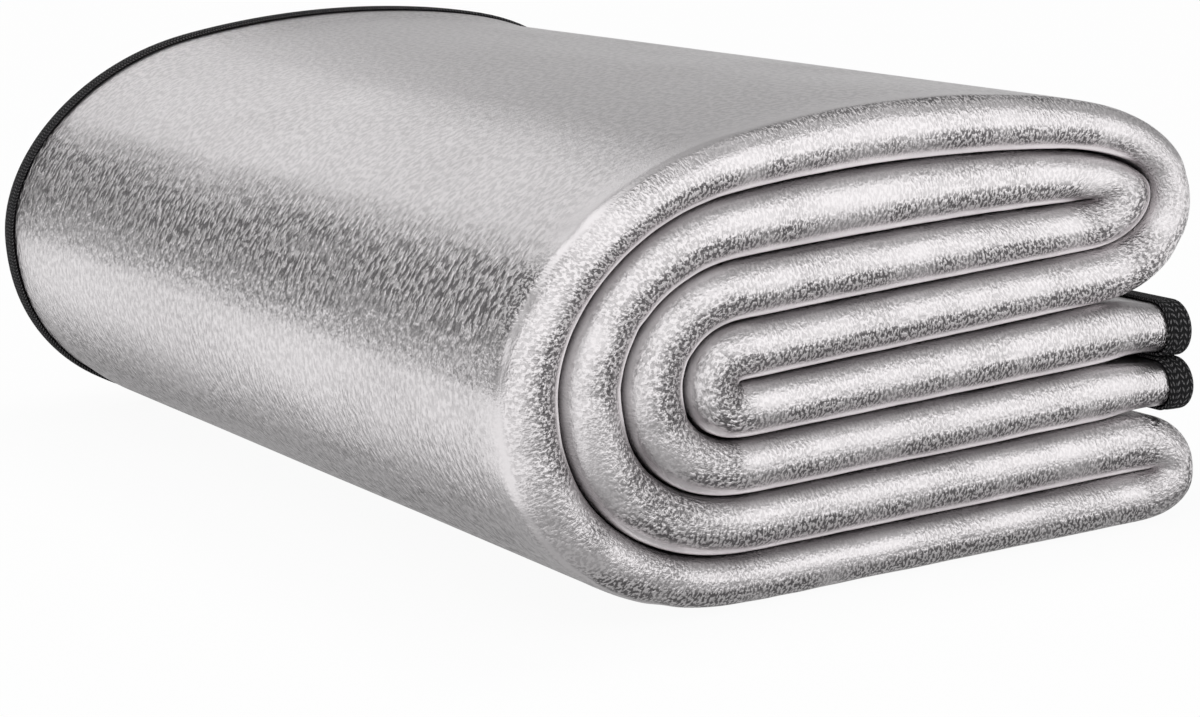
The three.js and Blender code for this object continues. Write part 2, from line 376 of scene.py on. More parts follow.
class TurnName(Enum):
    """The turns of the section, each from its upper crease round to its lower one."""

    LEFT_TIP = Turn(4, 4, 5, 5, 4.2, 76.3)
    LEFT_1 = Turn(3, 5, 5, 5, -17.5, 76, 0.98, 0.92)
    LEFT_2 = Turn(2, 6, 5, 5, -40.6, 77, 1.02, 0.92)
    LEFT_3 = Turn(1, 7, 5, 5, -63.9, 78, 1.04, 0.92)
    LEFT_4 = Turn(0, 8, 5, 5, -87, 78, 1, 0.92)
    INNER_TIP = Turn(2, 2, 126, 138, 151, 118.9)
    INNER_OUT = Turn(1, 3, 128, 148, 175.4, 119, 0.88, 1)
    OUTER_IN = Turn(1, 3, 130, 148, 176.0, 118.5, 0.87, 0.98)
    OUTER_OUT = Turn(0, 4, 128, 154, 192.8, 115.7, 0.81, 0.95)
    LOWER_TIP = Turn(7, 7, 160, 163, 171.7, 18.8)
    LOWER_OUT = Turn(6, 8, 160, 166, 190.7, 17, 0.95, 0.88)


CENTRE_X = (TurnName.LEFT_4.value.apex_x + TurnName.OUTER_OUT.value.apex_x) / 2.0


@dataclass(frozen=True)
class Run:
    """A flat stretch of the mat's way, between two creases.

    Attributes:
        plus: Number of the crease on the left hand of the way.
        minus: Number of the crease on its right hand.
        outside: 1 if the minus face is an outside of the stack.
    """

    plus: int
    minus: int
    outside: float = 0.0


@dataclass(frozen=True)
class Bend:
    """A bend of the mat's way, between two turns.

    Attributes:
        plus: The turn on the left hand of the way.
        minus: The turn on its right hand.
        rising: Whether the way goes from the lower creases to the upper ones.
        outside: 1 if the minus face is an outside of the stack.
    """

    plus: TurnName
    minus: TurnName
    rising: bool
    outside: float = 0.0

    def end_x(self, turn: TurnName, at_start: bool) -> float:
        """x at which one of the two turns meets the run before or after the bend."""
        low = at_start == self.rising
        return turn.value.start_lower if low else turn.value.start_upper


# The mat's way through the stack, from its upper free end to its lower one.
ROUTE: tuple[Run | Bend, ...] = (
    Run(5, 4),
    Bend(TurnName.LEFT_1, TurnName.LEFT_TIP, True),
    Run(3, 4),
    Bend(TurnName.OUTER_IN, TurnName.OUTER_OUT, True, outside=1.0),
    Run(1, 0, outside=1.0),
    Bend(TurnName.LEFT_3, TurnName.LEFT_4, False, outside=1.0),
    Run(7, 8),
    Bend(TurnName.LOWER_TIP, TurnName.LOWER_OUT, True, outside=1.0),
    Run(7, 6),
    Bend(TurnName.LEFT_3, TurnName.LEFT_2, True),
    Run(1, 2),
    Bend(TurnName.INNER_OUT, TurnName.INNER_TIP, False),
    Run(3, 2),
    Bend(TurnName.LEFT_1, TurnName.LEFT_2, False),
    Run(5, 6),
)


@dataclass(frozen=True)
class Stations:
    """The section of the sheet at places along the mat, as arrays with one row for each place.

    Attributes:
        middle: Middle of the layer, (m, 2), in mm of the section's frame.
        reach: From the middle to the plus face, (m, 2).
        half: Half the layer's thickness, (m,), measured across the way.
        pinch: 0 where the leaves have their full thickness and 1 where an end's tape holds them.
        spread: 1 where the stack may flare along X.
        outside: 1 where the minus face is an outside of the stack.
        leg: Number of the route's leg, plus how much of it is past.
    """

    middle: Array
    reach: Array
    half: Array
    pinch: Array
    spread: Array
    outside: Array
    leg: Array

    @property
    def length(self) -> Array:
        """Length along the mat, in mm."""
        return arc_length(self.middle)

    @property
    def curvature(self) -> Array:
        """How sharply the layer bends towards its plus face, in 1/mm: the turn of its direction
        over the length."""
        heading = np.unwrap(np.arctan2(*np.gradient(self.middle, axis=0).T[::-1]))
        return np.gradient(heading, self.length)

    def column(self) -> "Stations":
        """The same stations with an axis added, to be broadcast along each section's outline."""
        return Stations(**{item.name: getattr(self, item.name)[:, None] for item in fields(self)})

    def place(self, y: Array, n: Array) -> Array:
        """Points at depth y and at n from the layer's middle towards its plus face.

        The point is middle + reach n / half, and the whole stack grows by the flare's share as y
        nears the bound long edges.

        Args:
            y: Depths from the front fold, in mm, which broadcast with half.
            n: Distances from the middle, in mm, which broadcast with half.

        Returns:
            Points in metres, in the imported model's frame.
        """
        at = self.middle + self.reach * (n / self.half)[..., None]
        flare = smooth((y - SIZES.pinch_start_y) / SIZES.pinch_length)
        x = (at[..., 0] - CENTRE_X) * (1.0 + SIZES.flare_width * flare * self.spread)
        z = at[..., 1] * (1.0 + SIZES.flare_height * flare)
        return np.stack(np.broadcast_arrays(x, y - SIZES.depth / 2.0, z), axis=-1) * MM


@dataclass(frozen=True)
class FoldedSection:
    """Works out stations along the whole mat.

    Attributes:
        spacing: Distance between stations on the longer of a leg's two lines, in mm.
        ease: How many neighbours soften the joints between the runs and the bends.
    """

    spacing: float = 3.0
    ease: int = 2

    @staticmethod
    def _lines(index: int, s: Array) -> tuple[Array, Array]:
        """The plus and the minus line of a leg of the route.

        Args:
            index: Number of the leg.
            s: Shares of its way, (m,).

        Returns:
            Both lines, each an (m, 2) array in mm.
        """
        leg = ROUTE[index]
        if isinstance(leg, Bend):
            turned = 1.0 - s if leg.rising else s
            return leg.plus.value.points(turned), leg.minus.value.points(turned)
        lines = []
        for side in ("plus", "minus"):
            first, last = SIZES.end_start, SIZES.end_start
            if index > 0:
                before = ROUTE[index - 1]
                first = before.end_x(getattr(before, side), at_start=False)
            if index + 1 < len(ROUTE):
                after = ROUTE[index + 1]
                last = after.end_x(getattr(after, side), at_start=True)
            x = first + (last - first) * s
            lines.append(np.stack([x, CREASES[getattr(leg, side)].height(x)], axis=1))
        return lines[0], lines[1]

    def _leg_shares(self, index: int) -> Array:
        """Shares of a leg's way at which its stations lie, without its last point.

        Args:
            index: Number of the leg.

        Returns:
            The shares, evenly spaced from 0.
        """
        samples = 41
        lines = self._lines(index, np.linspace(0.0, 1.0, samples))
        longest = max(arc_length(line)[-1] for line in lines)
        steps = int(np.ceil(longest / self.spacing))
        return np.arange(steps) / steps

    @staticmethod
    def end_pinch(x: Array) -> Array:
        """How far an end's tape thins the leaves at x on a free end."""
        start = SIZES.end_tape_x - SIZES.seam_clearance - SIZES.pinch_length
        return smooth((x - start) / SIZES.pinch_length)

    @staticmethod
    def _finish(plus: Array, minus: Array, **columns: Array) -> Stations:
        """Stations from the two lines: middle is their mean, and reach is half their difference,
        made shorter by the gap between layers as measured across the way.

        Args:
            plus: The line on the left hand of the way, (m, 2), in mm.
            minus: The line on its right hand, (m, 2), in mm.
            columns: The stations' other columns.

        Returns:
            The stations.
        """
        middle = (plus + minus) / 2.0
        travel = np.gradient(middle, axis=0)
        travel = travel / np.linalg.norm(travel, axis=1, keepdims=True)
        reach = (plus - minus) / 2.0
        full = np.abs(reach[:, 0] * travel[:, 1] - reach[:, 1] * travel[:, 0])
        half = full - SIZES.layer_gap / 2.0
        return Stations(middle=middle, reach=reach * (half / full)[:, None], half=half, **columns)

    def free_end(self, leg: Run, x: Array) -> Stations:
        """Stations of one free end.

        Args:
            leg: The run that it lies on.
            x: Places along it, (m,), in mm.

        Returns:
            The stations, in the order of the places.
        """
        plus = np.stack([x, CREASES[leg.plus].height(x)], axis=1)
        minus = np.stack([x, CREASES[leg.minus].height(x)], axis=1)
        still = np.zeros_like(x)
        return self._finish(
            plus, minus, pinch=self.end_pinch(x), spread=still, outside=still, leg=still
        )

    def stations(self, end_places: Sequence[float]) -> Stations:
        """Stations from one short end of the mat to the other.

        Args:
            end_places: x of the stations on each free end, going outwards from where it begins.

        Returns:
            The stations, evenly spaced within each leg.
        """
        shares = [self._leg_shares(i) for i in range(len(ROUTE))]
        lines = [self._lines(i, s) for i, s in enumerate(shares)]
        places = np.asarray(end_places, dtype=float)
        ends = [
            [np.stack([x, CREASES[number].height(x)], axis=1) for number in (leg.plus, leg.minus)]
            for leg, x in ((ROUTE[0], places[:0:-1]), (ROUTE[-1], places))
        ]
        plus = np.concatenate([ends[0][0], *(pair[0] for pair in lines), ends[1][0]])
        minus = np.concatenate([ends[0][1], *(pair[1] for pair in lines), ends[1][1]])
        inner = np.concatenate([i + s for i, s in enumerate(shares)])
        first, last = len(places) - 1, len(places)
        leg = np.concatenate([np.zeros(first), inner, np.full(last, float(len(ROUTE)))])
        outside = np.concatenate([np.full(len(s), ROUTE[i].outside) for i, s in enumerate(shares)])
        outside = np.concatenate([np.zeros(first), outside, np.zeros(last)])
        middle_x = (plus[:, 0] + minus[:, 0]) / 2.0
        on_end_layers = (leg < 1.0) | (leg >= len(ROUTE) - 1.0)
        spread = np.concatenate([np.zeros(first), np.ones(len(inner)), np.zeros(last)])
        return self._finish(
            eased(plus, self.ease),
            eased(minus, self.ease),
            pinch=np.where(on_end_layers, self.end_pinch(middle_x), 0.0),
            spread=eased(spread[:, None], self.ease)[:, 0],
            outside=eased(outside[:, None], 4 * self.ease)[:, 0],
            leg=leg,
        )


# ---- Meshes -------------------------------------------------------------------------------------


def grid_volume(grid: Array) -> float:
    """Signed volume inside a grid of rings: a sixth of the sum of its triangles' triple products.

    Args:
        grid: Points as an (m, k, 3) array.

    Returns:
        The volume, above 0 where the rings' faces look outwards.
    """
    after = np.roll(grid, -1, axis=1)
    a, b, c, d = grid[:-1], after[:-1], after[1:], grid[1:]
    triple = np.einsum("ijk,ijk->", a, np.cross(b, c)) + np.einsum("ijk,ijk->", a, np.cross(c, d))
    return float(triple) / 6.0


def flat_uv(ring: Array) -> Array:
    """Coordinates in metres over an end face: along the two axes on which its ring is longest."""
    longest = np.argsort(np.ptp(ring, axis=0))[1:]
    return ring[:, np.sort(longest)[::-1]]


def ring_mesh(
    name: str, grid: Array, uv: Array, masks: dict[str, Array], sharp: float = 50.0
) -> bpy.types.Object:
    """A closed mesh through rings of points, with a flat face over each of its two ends.

    Args:
        name: The piece's name.
        grid: Points as an (m, k, 3) array, m rings of k points, in metres.
        uv: The sheet's own coordinates, (m, k + 1, 2), whose last column closes each ring.
        masks: Named numbers for the materials, each an (m, k) array.
        sharp: Edges that turn more than this many degrees are shaded sharp.

    Returns:
        The mesh object, at the origin, with its faces pointing outwards.
    """
    rings, count = grid.shape[:2]
    index = np.arange(rings * count).reshape(rings, count)
    after = np.roll(index, -1, axis=1)
    quads = np.stack([index[:-1], after[:-1], after[1:], index[1:]], axis=-1).reshape(-1, 4)
    quad_uv = np.stack([uv[:-1, :-1], uv[:-1, 1:], uv[1:, 1:], uv[1:, :-1]], axis=2)
    quad_uv = quad_uv.reshape(-1, 4, 2)
    caps = [index[0, ::-1], index[-1]]
    cap_uv = [flat_uv(grid[0, ::-1]), flat_uv(grid[-1])]
    if grid_volume(grid - grid.mean(axis=(0, 1))) < 0.0:
        quads, quad_uv = quads[:, ::-1], quad_uv[:, ::-1]
        caps = [cap[::-1] for cap in caps]
        cap_uv = [corners[::-1] for corners in cap_uv]
    loops = np.concatenate([quads.ravel(), *caps])
    starts = np.concatenate([4 * np.arange(len(quads)), 4 * len(quads) + np.array([0, count])])
    mesh = bpy.data.meshes.new(name)
    mesh.vertices.add(rings * count)
    mesh.vertices.foreach_set("co", grid.astype(np.float32).ravel())
    mesh.loops.add(len(loops))
    mesh.loops.foreach_set("vertex_index", loops.astype(np.int32))
    mesh.polygons.add(len(starts))
    mesh.polygons.foreach_set("loop_start", starts.astype(np.int32))
    mesh.polygons.foreach_set("use_smooth", np.ones(len(starts), dtype=bool))
    mesh.update(calc_edges=True)
    layer = mesh.uv_layers.new(name="sheet")
    corners = np.concatenate([quad_uv.reshape(-1, 2), *cap_uv])
    layer.data.foreach_set("uv", corners.astype(np.float32).ravel())
    for label, values in masks.items():
        mask = mesh.attributes.new(label, "FLOAT", "POINT")
        mask.data.foreach_set("value", values.astype(np.float32).ravel())
    mesh.set_sharp_from_angle(angle=np.radians(sharp))
    piece = bpy.data.objects.new(name, mesh)
    bpy.context.scene.collection.objects.link(piece)
    return piece


def sheet_uv(along: Array, ring: Array) -> Array:
    """Coordinates in metres for ring_mesh: length along the sheet and length round its outline.

    Args:
        along: Length at each ring, (m,), in mm.
        ring: The nominal outline, (k, 2), in mm.

    Returns:
        An (m, k + 1, 2) array, whose last column closes the outline.
    """
    across = arc_length(np.concatenate([ring, ring[:1]]))
    return np.stack(np.meshgrid(along, across, indexing="ij"), axis=-1) * MM


# ---- Node trees ---------------------------------------------------------------------------------

Source = bpy.types.NodeSocket | float | Sequence[float]


@dataclass
class NodeBench:
    """Adds nodes to one tree and links them."""

    tree: bpy.types.NodeTree

    def add(
        self, kind: str, inputs: dict[str | int, Source] | None = None, **settings: object
    ) -> bpy.types.Node:
        """A new node.

        Args:
            kind: The node's type.
            inputs: What each named or numbered input gets, a socket to link or a value to set.
            settings: Values of the node's own properties.

        Returns:
            The node.
        """
        node = self.tree.nodes.new(kind)
        for label, value in settings.items():
            setattr(node, label, value)
        for label, source in (inputs or {}).items():
            if isinstance(source, bpy.types.NodeSocket):
                self.tree.links.new(source, node.inputs[label])
            else:
                node.inputs[label].default_value = source
        return node

    def group(self, tree: bpy.types.NodeTree, inputs: dict[str | int, Source]) -> bpy.types.Node:
        """A group node, with its values set or linked."""
        return self.add("ShaderNodeGroup", inputs, node_tree=tree)

    def mask(self, name: str) -> bpy.types.NodeSocket:
        """One of the mesh's named numbers."""
        return self.add("ShaderNodeAttribute", attribute_name=name).outputs["Fac"]

    def vector(self, operation: str, *sources: Source) -> bpy.types.Node:
        """A Vector Math node with the sources given."""
        return self.add("ShaderNodeVectorMath", dict(enumerate(sources)), operation=operation)

    def math(self, operation: str, *sources: Source, clamp: bool = False) -> bpy.types.NodeSocket:
        """The output of a Math node.

        Args:
            operation: What it works out.
            sources: What it works it out from.
            clamp: Whether the result is held between 0 and 1.

        Returns:
            The result's output.
        """
        inputs = dict(enumerate(sources))
        node = self.add("ShaderNodeMath", inputs, operation=operation, use_clamp=clamp)
        return node.outputs[0]

    def blend(self, factor: Source, first: Source, second: Source) -> bpy.types.NodeSocket:
        """A number between two others, by a factor from 0 to 1.

        Args:
            factor: The factor.
            first: The number at 0.
            second: The number at 1.

        Returns:
            The number's output.
        """
        inputs = {"Factor": factor, "A": first, "B": second}
        node = self.add("ShaderNodeMix", inputs, data_type="FLOAT")
        return node.outputs["Result"]

    def tint(
        self, factor: bpy.types.NodeSocket, first: Rgb | bpy.types.NodeSocket, second: Rgb
    ) -> bpy.types.NodeSocket:
        """A colour between two others, by a factor from 0 to 1.

        Args:
            factor: The factor.
            first: The colour at 0.
            second: The colour at 1.

        Returns:
            The colour's output.
        """
        node = self.add("ShaderNodeMix", {"Factor": factor}, data_type="RGBA")
        if isinstance(first, bpy.types.NodeSocket):
            self.tree.links.new(first, node.inputs[6])
        else:
            node.inputs[6].default_value = (*first, 1.0)
        node.inputs[7].default_value = (*second, 1.0)
        return node.outputs[2]

    def ramp(self, source: bpy.types.NodeSocket, low: float, high: float) -> bpy.types.NodeSocket:
        """A soft step, which falls where low is above high.

        Args:
            source: What it is a step of.
            low: Value at which it gives 0.
            high: Value at which it gives 1.

        Returns:
            The step's output.
        """
        node = self.add(
            "ShaderNodeMapRange",
            {"Value": source, "From Min": low, "From Max": high, "To Min": 0.0, "To Max": 1.0},
            interpolation_type="SMOOTHSTEP",
        )
        return node.outputs["Result"]


def new_group(
    name: str, inputs: dict[str, tuple[str, object]], outputs: Sequence[str]
) -> tuple[bpy.types.NodeTree, NodeBench, bpy.types.Node, bpy.types.Node]:
    """An empty shader node group.

    Args:
        name: The group's name.
        inputs: Socket type and default value of each input.
        outputs: Names of its outputs, which are all numbers.

    Returns:
        The group, a bench on it, its input node and its output node.
    """
    tree = bpy.data.node_groups.new(name, "ShaderNodeTree")
    for label, (kind, default) in inputs.items():
        socket = tree.interface.new_socket(name=label, in_out="INPUT", socket_type=kind)
        if default is not None:
            socket.default_value = default
    for label in outputs:
        tree.interface.new_socket(name=label, in_out="OUTPUT", socket_type="NodeSocketFloat")
    bench = NodeBench(tree)
    return tree, bench, bench.add("NodeGroupInput"), bench.add("NodeGroupOutput")


def stretched_grain_group() -> bpy.types.NodeTree:
    """Grain with features of two sizes: noise read at coordinates scaled apart along and across.

    Returns:
        The group.
    """
    tree, bench, given, out = new_group(
        "stretched grain",
        {
            "Vector": ("NodeSocketVector", None),
            "Along": ("NodeSocketFloat", 500.0),
            "Across": ("NodeSocketFloat", 500.0),
            "Detail": ("NodeSocketFloat", 2.0),
            "Shift": ("NodeSocketFloat", 0.0),
        },
        ["Height"],
    )
    values = given.outputs
    scale = bench.add("ShaderNodeCombineXYZ", {0: values["Along"], 1: values["Across"], 2: 1.0})
    scaled = bench.vector("MULTIPLY", values["Vector"], scale.outputs[0])
    shift = bench.add("ShaderNodeCombineXYZ", {0: values["Shift"], 1: values["Shift"], 2: 0.0})
    moved = bench.vector("ADD", scaled.outputs[0], shift.outputs[0])
    noise = bench.add(
        "ShaderNodeTexNoise",
        {"Vector": moved.outputs[0], "Scale": 1.0, "Detail": values["Detail"], "Roughness": 0.55},
        noise_dimensions="2D",
    )
    tree.links.new(noise.outputs[0], out.inputs["Height"])
    return tree


def herringbone_group() -> bpy.types.NodeTree:
    """Slanting yarns in columns that lean one way and the other: the place along the tape is
    shifted by the place within a column, mirrored in every other column, and each pitch along it
    holds one yarn. Its crown is a sine, times 1 less the cube of the way out to the column's edge.

    Returns:
        The group.
    """
    lean_share, crown_low, crown_high = 0.9, 0.62, 0.95
    tree, bench, given, out = new_group(
        "herringbone",
        {
            "Vector": ("NodeSocketVector", None),
            "Column": ("NodeSocketFloat", 0.0019),
            "Pitch": ("NodeSocketFloat", 0.0013),
        },
        ["Height", "Yarn"],
    )
    place = bench.add("ShaderNodeSeparateXYZ", {0: given.outputs["Vector"]})
    column = bench.math("DIVIDE", place.outputs[1], given.outputs["Column"])
    lean = bench.math("MULTIPLY", bench.math("PINGPONG", column, 1.0), lean_share)
    along = bench.math("DIVIDE", place.outputs[0], given.outputs["Pitch"])
    yarn = bench.math("FRACT", bench.math("ADD", along, lean))
    crown = bench.math("SINE", bench.math("MULTIPLY", yarn, np.pi))
    middle = bench.math("SUBTRACT", bench.math("FRACT", column), 0.5)
    out_to_edge = bench.math("ABSOLUTE", bench.math("MULTIPLY", middle, 2.0))
    dip = bench.math("SUBTRACT", 1.0, bench.math("POWER", out_to_edge, 3.0))
    height = bench.math("MULTIPLY", crown, dip)
    tree.links.new(height, out.inputs["Height"])
    tree.links.new(bench.ramp(height, crown_low, crown_high), out.inputs["Yarn"])
    return tree


@dataclass(frozen=True)
class Effects:
    """The node groups that the materials share."""

    grain: bpy.types.NodeTree
    herringbone: bpy.types.NodeTree

    @classmethod
    def build(cls) -> "Effects":
        """Makes each group once."""
        return cls(grain=stretched_grain_group(), herringbone=herringbone_group())


def new_material(name: str) -> tuple[bpy.types.Material, NodeBench, bpy.types.Node]:
    """A material with a Principled shader linked to its output.

    Args:
        name: The material's name.

    Returns:
        The material, a bench on its tree and the Principled node.
    """
    material = bpy.data.materials.new(name)
    material.use_nodes = True
    material.node_tree.nodes.clear()
    bench = NodeBench(material.node_tree)
    shader = bench.add("ShaderNodeBsdfPrincipled")
    bench.add("ShaderNodeOutputMaterial", {"Surface": shader.outputs[0]})
    return material, bench, shader


@dataclass(frozen=True)
class GrainLayer:
    """One layer of stretched grain.

    Attributes:
        along: Features for each metre along the sheet.
        across: Features for each metre across it.
        detail: How many finer layers it holds.
        shift: Where the noise is read, so that no two layers are alike.
    """

    along: float
    across: float
    detail: float
    shift: float

    def height(
        self, bench: NodeBench, effects: Effects, uv: bpy.types.NodeSocket
    ) -> bpy.types.NodeSocket:
        """The layer's height in a material, about 0.5 on average.

        Args:
            bench: The bench on the material.
            effects: The shared node groups.
            uv: The sheet's own coordinates.

        Returns:
            The height's output.
        """
        values = {
            "Vector": uv, "Along": self.along, "Across": self.across,
            "Detail": self.detail, "Shift": self.shift,
        }
        return bench.group(effects.grain, values).outputs["Height"]


# ---- Finishes -----------------------------------------------------------------------------------


class FoilGrain(Enum):
    """The foil's layers of grain."""

    ROUND_BENDS = GrainLayer(260.0, 440.0, 2.0, 0.0)
    OVER_FOLDS = GrainLayer(1050.0, 560.0, 1.5, 17.0)
    IN_BENDS = GrainLayer(640.0, 700.0, 2.5, 53.0)
    LEATHER = GrainLayer(300.0, 560.0, 2.0, 31.0)
    FINE = GrainLayer(1300.0, 1300.0, 1.5, 47.0)
    SPECKS = GrainLayer(420.0, 420.0, 3.0, 71.0)
    PATCHES = GrainLayer(9.0, 14.0, 2.0, 5.0)


@dataclass(frozen=True)
class FoilFinish:
    """Crinkled metal foil laminated on foam.

    Pairs of grain heights give where a mask is 0 and where it is 1.

    Attributes:
        bright: Colour of the foil itself.
        lip_highlight: Painted highlight on the lips beside the creases.
        shaded: Painted shade in the bottoms of its crinkles and wrinkles, also taken by the specks.
        crease_shade_colour: Painted shade deep in the creases between the folds, seen directly
            only.
        shading: How far the bottoms of the faintest crinkles take the shaded colour.
        deep_shading: How far those of the strongest ones do.
        smooth_roughness: Roughness of the clean foil.
        worn_roughness: Roughness of its worn patches.
        stroke_relief: Height of the strokes on the front folds where they are strongest, in mm.
        flat_relief: The same on the outside of the stack.
        leather_relief: Height of the crumple where a front fold goes round a bend, in mm.
        grain_relief: Height of the fine grain, in mm.
        bottoms: Heights of the strokes between which their bottoms begin.
        flat_lift: How much higher the strokes on the outside of the stack count for that.
        wrinkle_width: Distance from the middle height at which a wrinkle of the crumple ends.
        wrinkle_shading: How much a wrinkle counts as a bottom.
        specks: Heights between which the specks begin.
        mottling: How much the specks on the outside of the stack count as bottoms.
        worn: Heights between which the worn patches begin.
    """

    bright: Rgb = (0.845, 0.815, 0.825)
    lip_highlight: Rgb = (0.97, 0.955, 0.96)
    shaded: Rgb = (0.19, 0.18, 0.185)
    crease_shade_colour: Rgb = (0.085, 0.08, 0.083)
    shading: float = 0.70
    deep_shading: float = 1.0
    smooth_roughness: float = 0.285
    worn_roughness: float = 0.33
    stroke_relief: float = 0.90
    flat_relief: float = 3.40
    leather_relief: float = 1.5
    grain_relief: float = 0.09
    bottoms: tuple[float, float] = (0.548, 0.458)
    flat_lift: float = 0.03
    wrinkle_width: float = 0.06
    wrinkle_shading: float = 0.6
    specks: tuple[float, float] = (0.62, 0.38)
    mottling: float = 0.38
    worn: tuple[float, float] = (0.30, 0.75)

    def build(self, effects: Effects) -> bpy.types.Material:
        """Strokes run round the bends on the flats and across the ridge on the front folds, with a
        leathery crumple where folds and bends meet, and fine grain over all of it. The bottoms of
        the strokes and wrinkles take painted shade, the lips a painted highlight, and the creases
        painted shade as seen directly only, so that the lips mirror foil without that shade.

        Args:
            effects: The shared node groups.

        Returns:
            The material.
        """
        material, bench, shader = new_material("crinkled foil")
        math = bench.math
        uv = bench.add("ShaderNodeUVMap", uv_map="sheet").outputs[0]
        heights = {layer: layer.value.height(bench, effects, uv) for layer in FoilGrain}
        nose, bend, crinkle = (bench.mask(name) for name in ("nose", "bend", "crinkle"))

        on_folds = bench.blend(bend, heights[FoilGrain.OVER_FOLDS], heights[FoilGrain.IN_BENDS])
        strokes = bench.blend(nose, heights[FoilGrain.ROUND_BENDS], on_folds)
        crumpled = math("MULTIPLY", crinkle, bend)
        leather = math("ABSOLUTE", math("SUBTRACT", heights[FoilGrain.LEATHER], 0.5))
        relief = math("MULTIPLY", crinkle, bench.blend(nose, self.flat_relief, self.stroke_relief))
        raised = math("MULTIPLY", strokes, relief)
        puckered = math("MULTIPLY", leather, math("MULTIPLY", crumpled, self.leather_relief))
        fine = math("MULTIPLY", heights[FoilGrain.FINE], self.grain_relief)
        height = math("ADD", math("ADD", raised, puckered), fine)
        bump = bench.add("ShaderNodeBump", {"Strength": 1.0, "Distance": MM, "Height": height})

        lifted = math("ADD", strokes, bench.blend(nose, self.flat_lift, 0.0))
        low = math("MULTIPLY", bench.ramp(lifted, *self.bottoms), crinkle)
        wrinkles = math("MULTIPLY", bench.ramp(leather, self.wrinkle_width, 0.0), crumpled)
        low = math("ADD", low, math("MULTIPLY", wrinkles, self.wrinkle_shading))
        specks = bench.ramp(heights[FoilGrain.SPECKS], *self.specks)
        mottled = math("MULTIPLY", specks, bench.blend(nose, self.mottling, 0.0))
        low = math("ADD", low, mottled, clamp=True)
        # Painted shade in the bottoms of the crinkles and wrinkles; the specks added into it are
        # the foil's own random tone.
        painted_shade_and_specks = math("MULTIPLY", low, bench.blend(crinkle, self.shading, self.deep_shading))
        # Painted highlight on the lips beside the creases.
        foil_and_lip_highlight = bench.tint(bench.mask("lip"), self.bright, self.lip_highlight)
        surface = bench.tint(painted_shade_and_specks, foil_and_lip_highlight, self.shaded)
        # Painted shade deep in the creases, for camera rays only.
        seen = bench.add("ShaderNodeLightPath").outputs["Is Camera Ray"]
        deep = math("MULTIPLY", bench.mask("painted_crease_shade"), seen)
        patches = bench.ramp(heights[FoilGrain.PATCHES], *self.worn)
        roughness = bench.blend(patches, self.smooth_roughness, self.worn_roughness)
        links = material.node_tree.links
        links.new(bench.tint(deep, surface, self.crease_shade_colour), shader.inputs["Base Color"])
        links.new(roughness, shader.inputs["Roughness"])
        links.new(bump.outputs[0], shader.inputs["Normal"])
        shader.inputs["Metallic"].default_value = 1.0
        return material


@dataclass(frozen=True)
class TapeFinish:
    """Matte woven binding tape.

    Attributes:
        yarn: Colour of the yarns.
        tick: Colour of a yarn's crown, where it catches light.
        roughness: Roughness of the yarns.
        gloss: Specular level of the yarns.
        relief: Height of the weave, in metres.
        relief_share: How much of that height shows.
        fibres: The grain of the fibres.
        fibre_share: Height of the fibres, 1 being a yarn's.
        lit_fibres: Heights of the fibres between which they catch light.
    """

    yarn: Rgb = (0.006, 0.006, 0.007)
    tick: Rgb = (0.21, 0.205, 0.21)
    roughness: float = 0.85
    gloss: float = 0.25
    relief: float = 0.0005
    relief_share: float = 0.9
    fibres: GrainLayer = GrainLayer(3500.0, 1800.0, 2.0, 3.0)
    fibre_share: float = 0.35
    lit_fibres: tuple[float, float] = (0.25, 0.7)

    def build(self, effects: Effects) -> bpy.types.Material:
        """Herringbone columns run along the tape, with lighter crowns and fibres over them.

        Args:
            effects: The shared node groups.

        Returns:
            The material.
        """
        material, bench, shader = new_material("woven tape")
        uv = bench.add("ShaderNodeUVMap", uv_map="sheet").outputs[0]
        weave = bench.group(effects.herringbone, {"Vector": uv}).outputs
        fibres = self.fibres.height(bench, effects, uv)
        raised = bench.math("MULTIPLY", fibres, self.fibre_share)
        height = bench.math("ADD", weave["Height"], raised)
        values = {"Strength": self.relief_share, "Distance": self.relief, "Height": height}
        bump = bench.add("ShaderNodeBump", values)
        lit = bench.math("MULTIPLY", weave["Yarn"], bench.ramp(fibres, *self.lit_fibres))
        links = material.node_tree.links
        links.new(bench.tint(lit, self.yarn, self.tick), shader.inputs["Base Color"])
        links.new(bump.outputs[0], shader.inputs["Normal"])
        shader.inputs["Roughness"].default_value = self.roughness
        shader.inputs["Specular IOR Level"].default_value = self.gloss
        return material


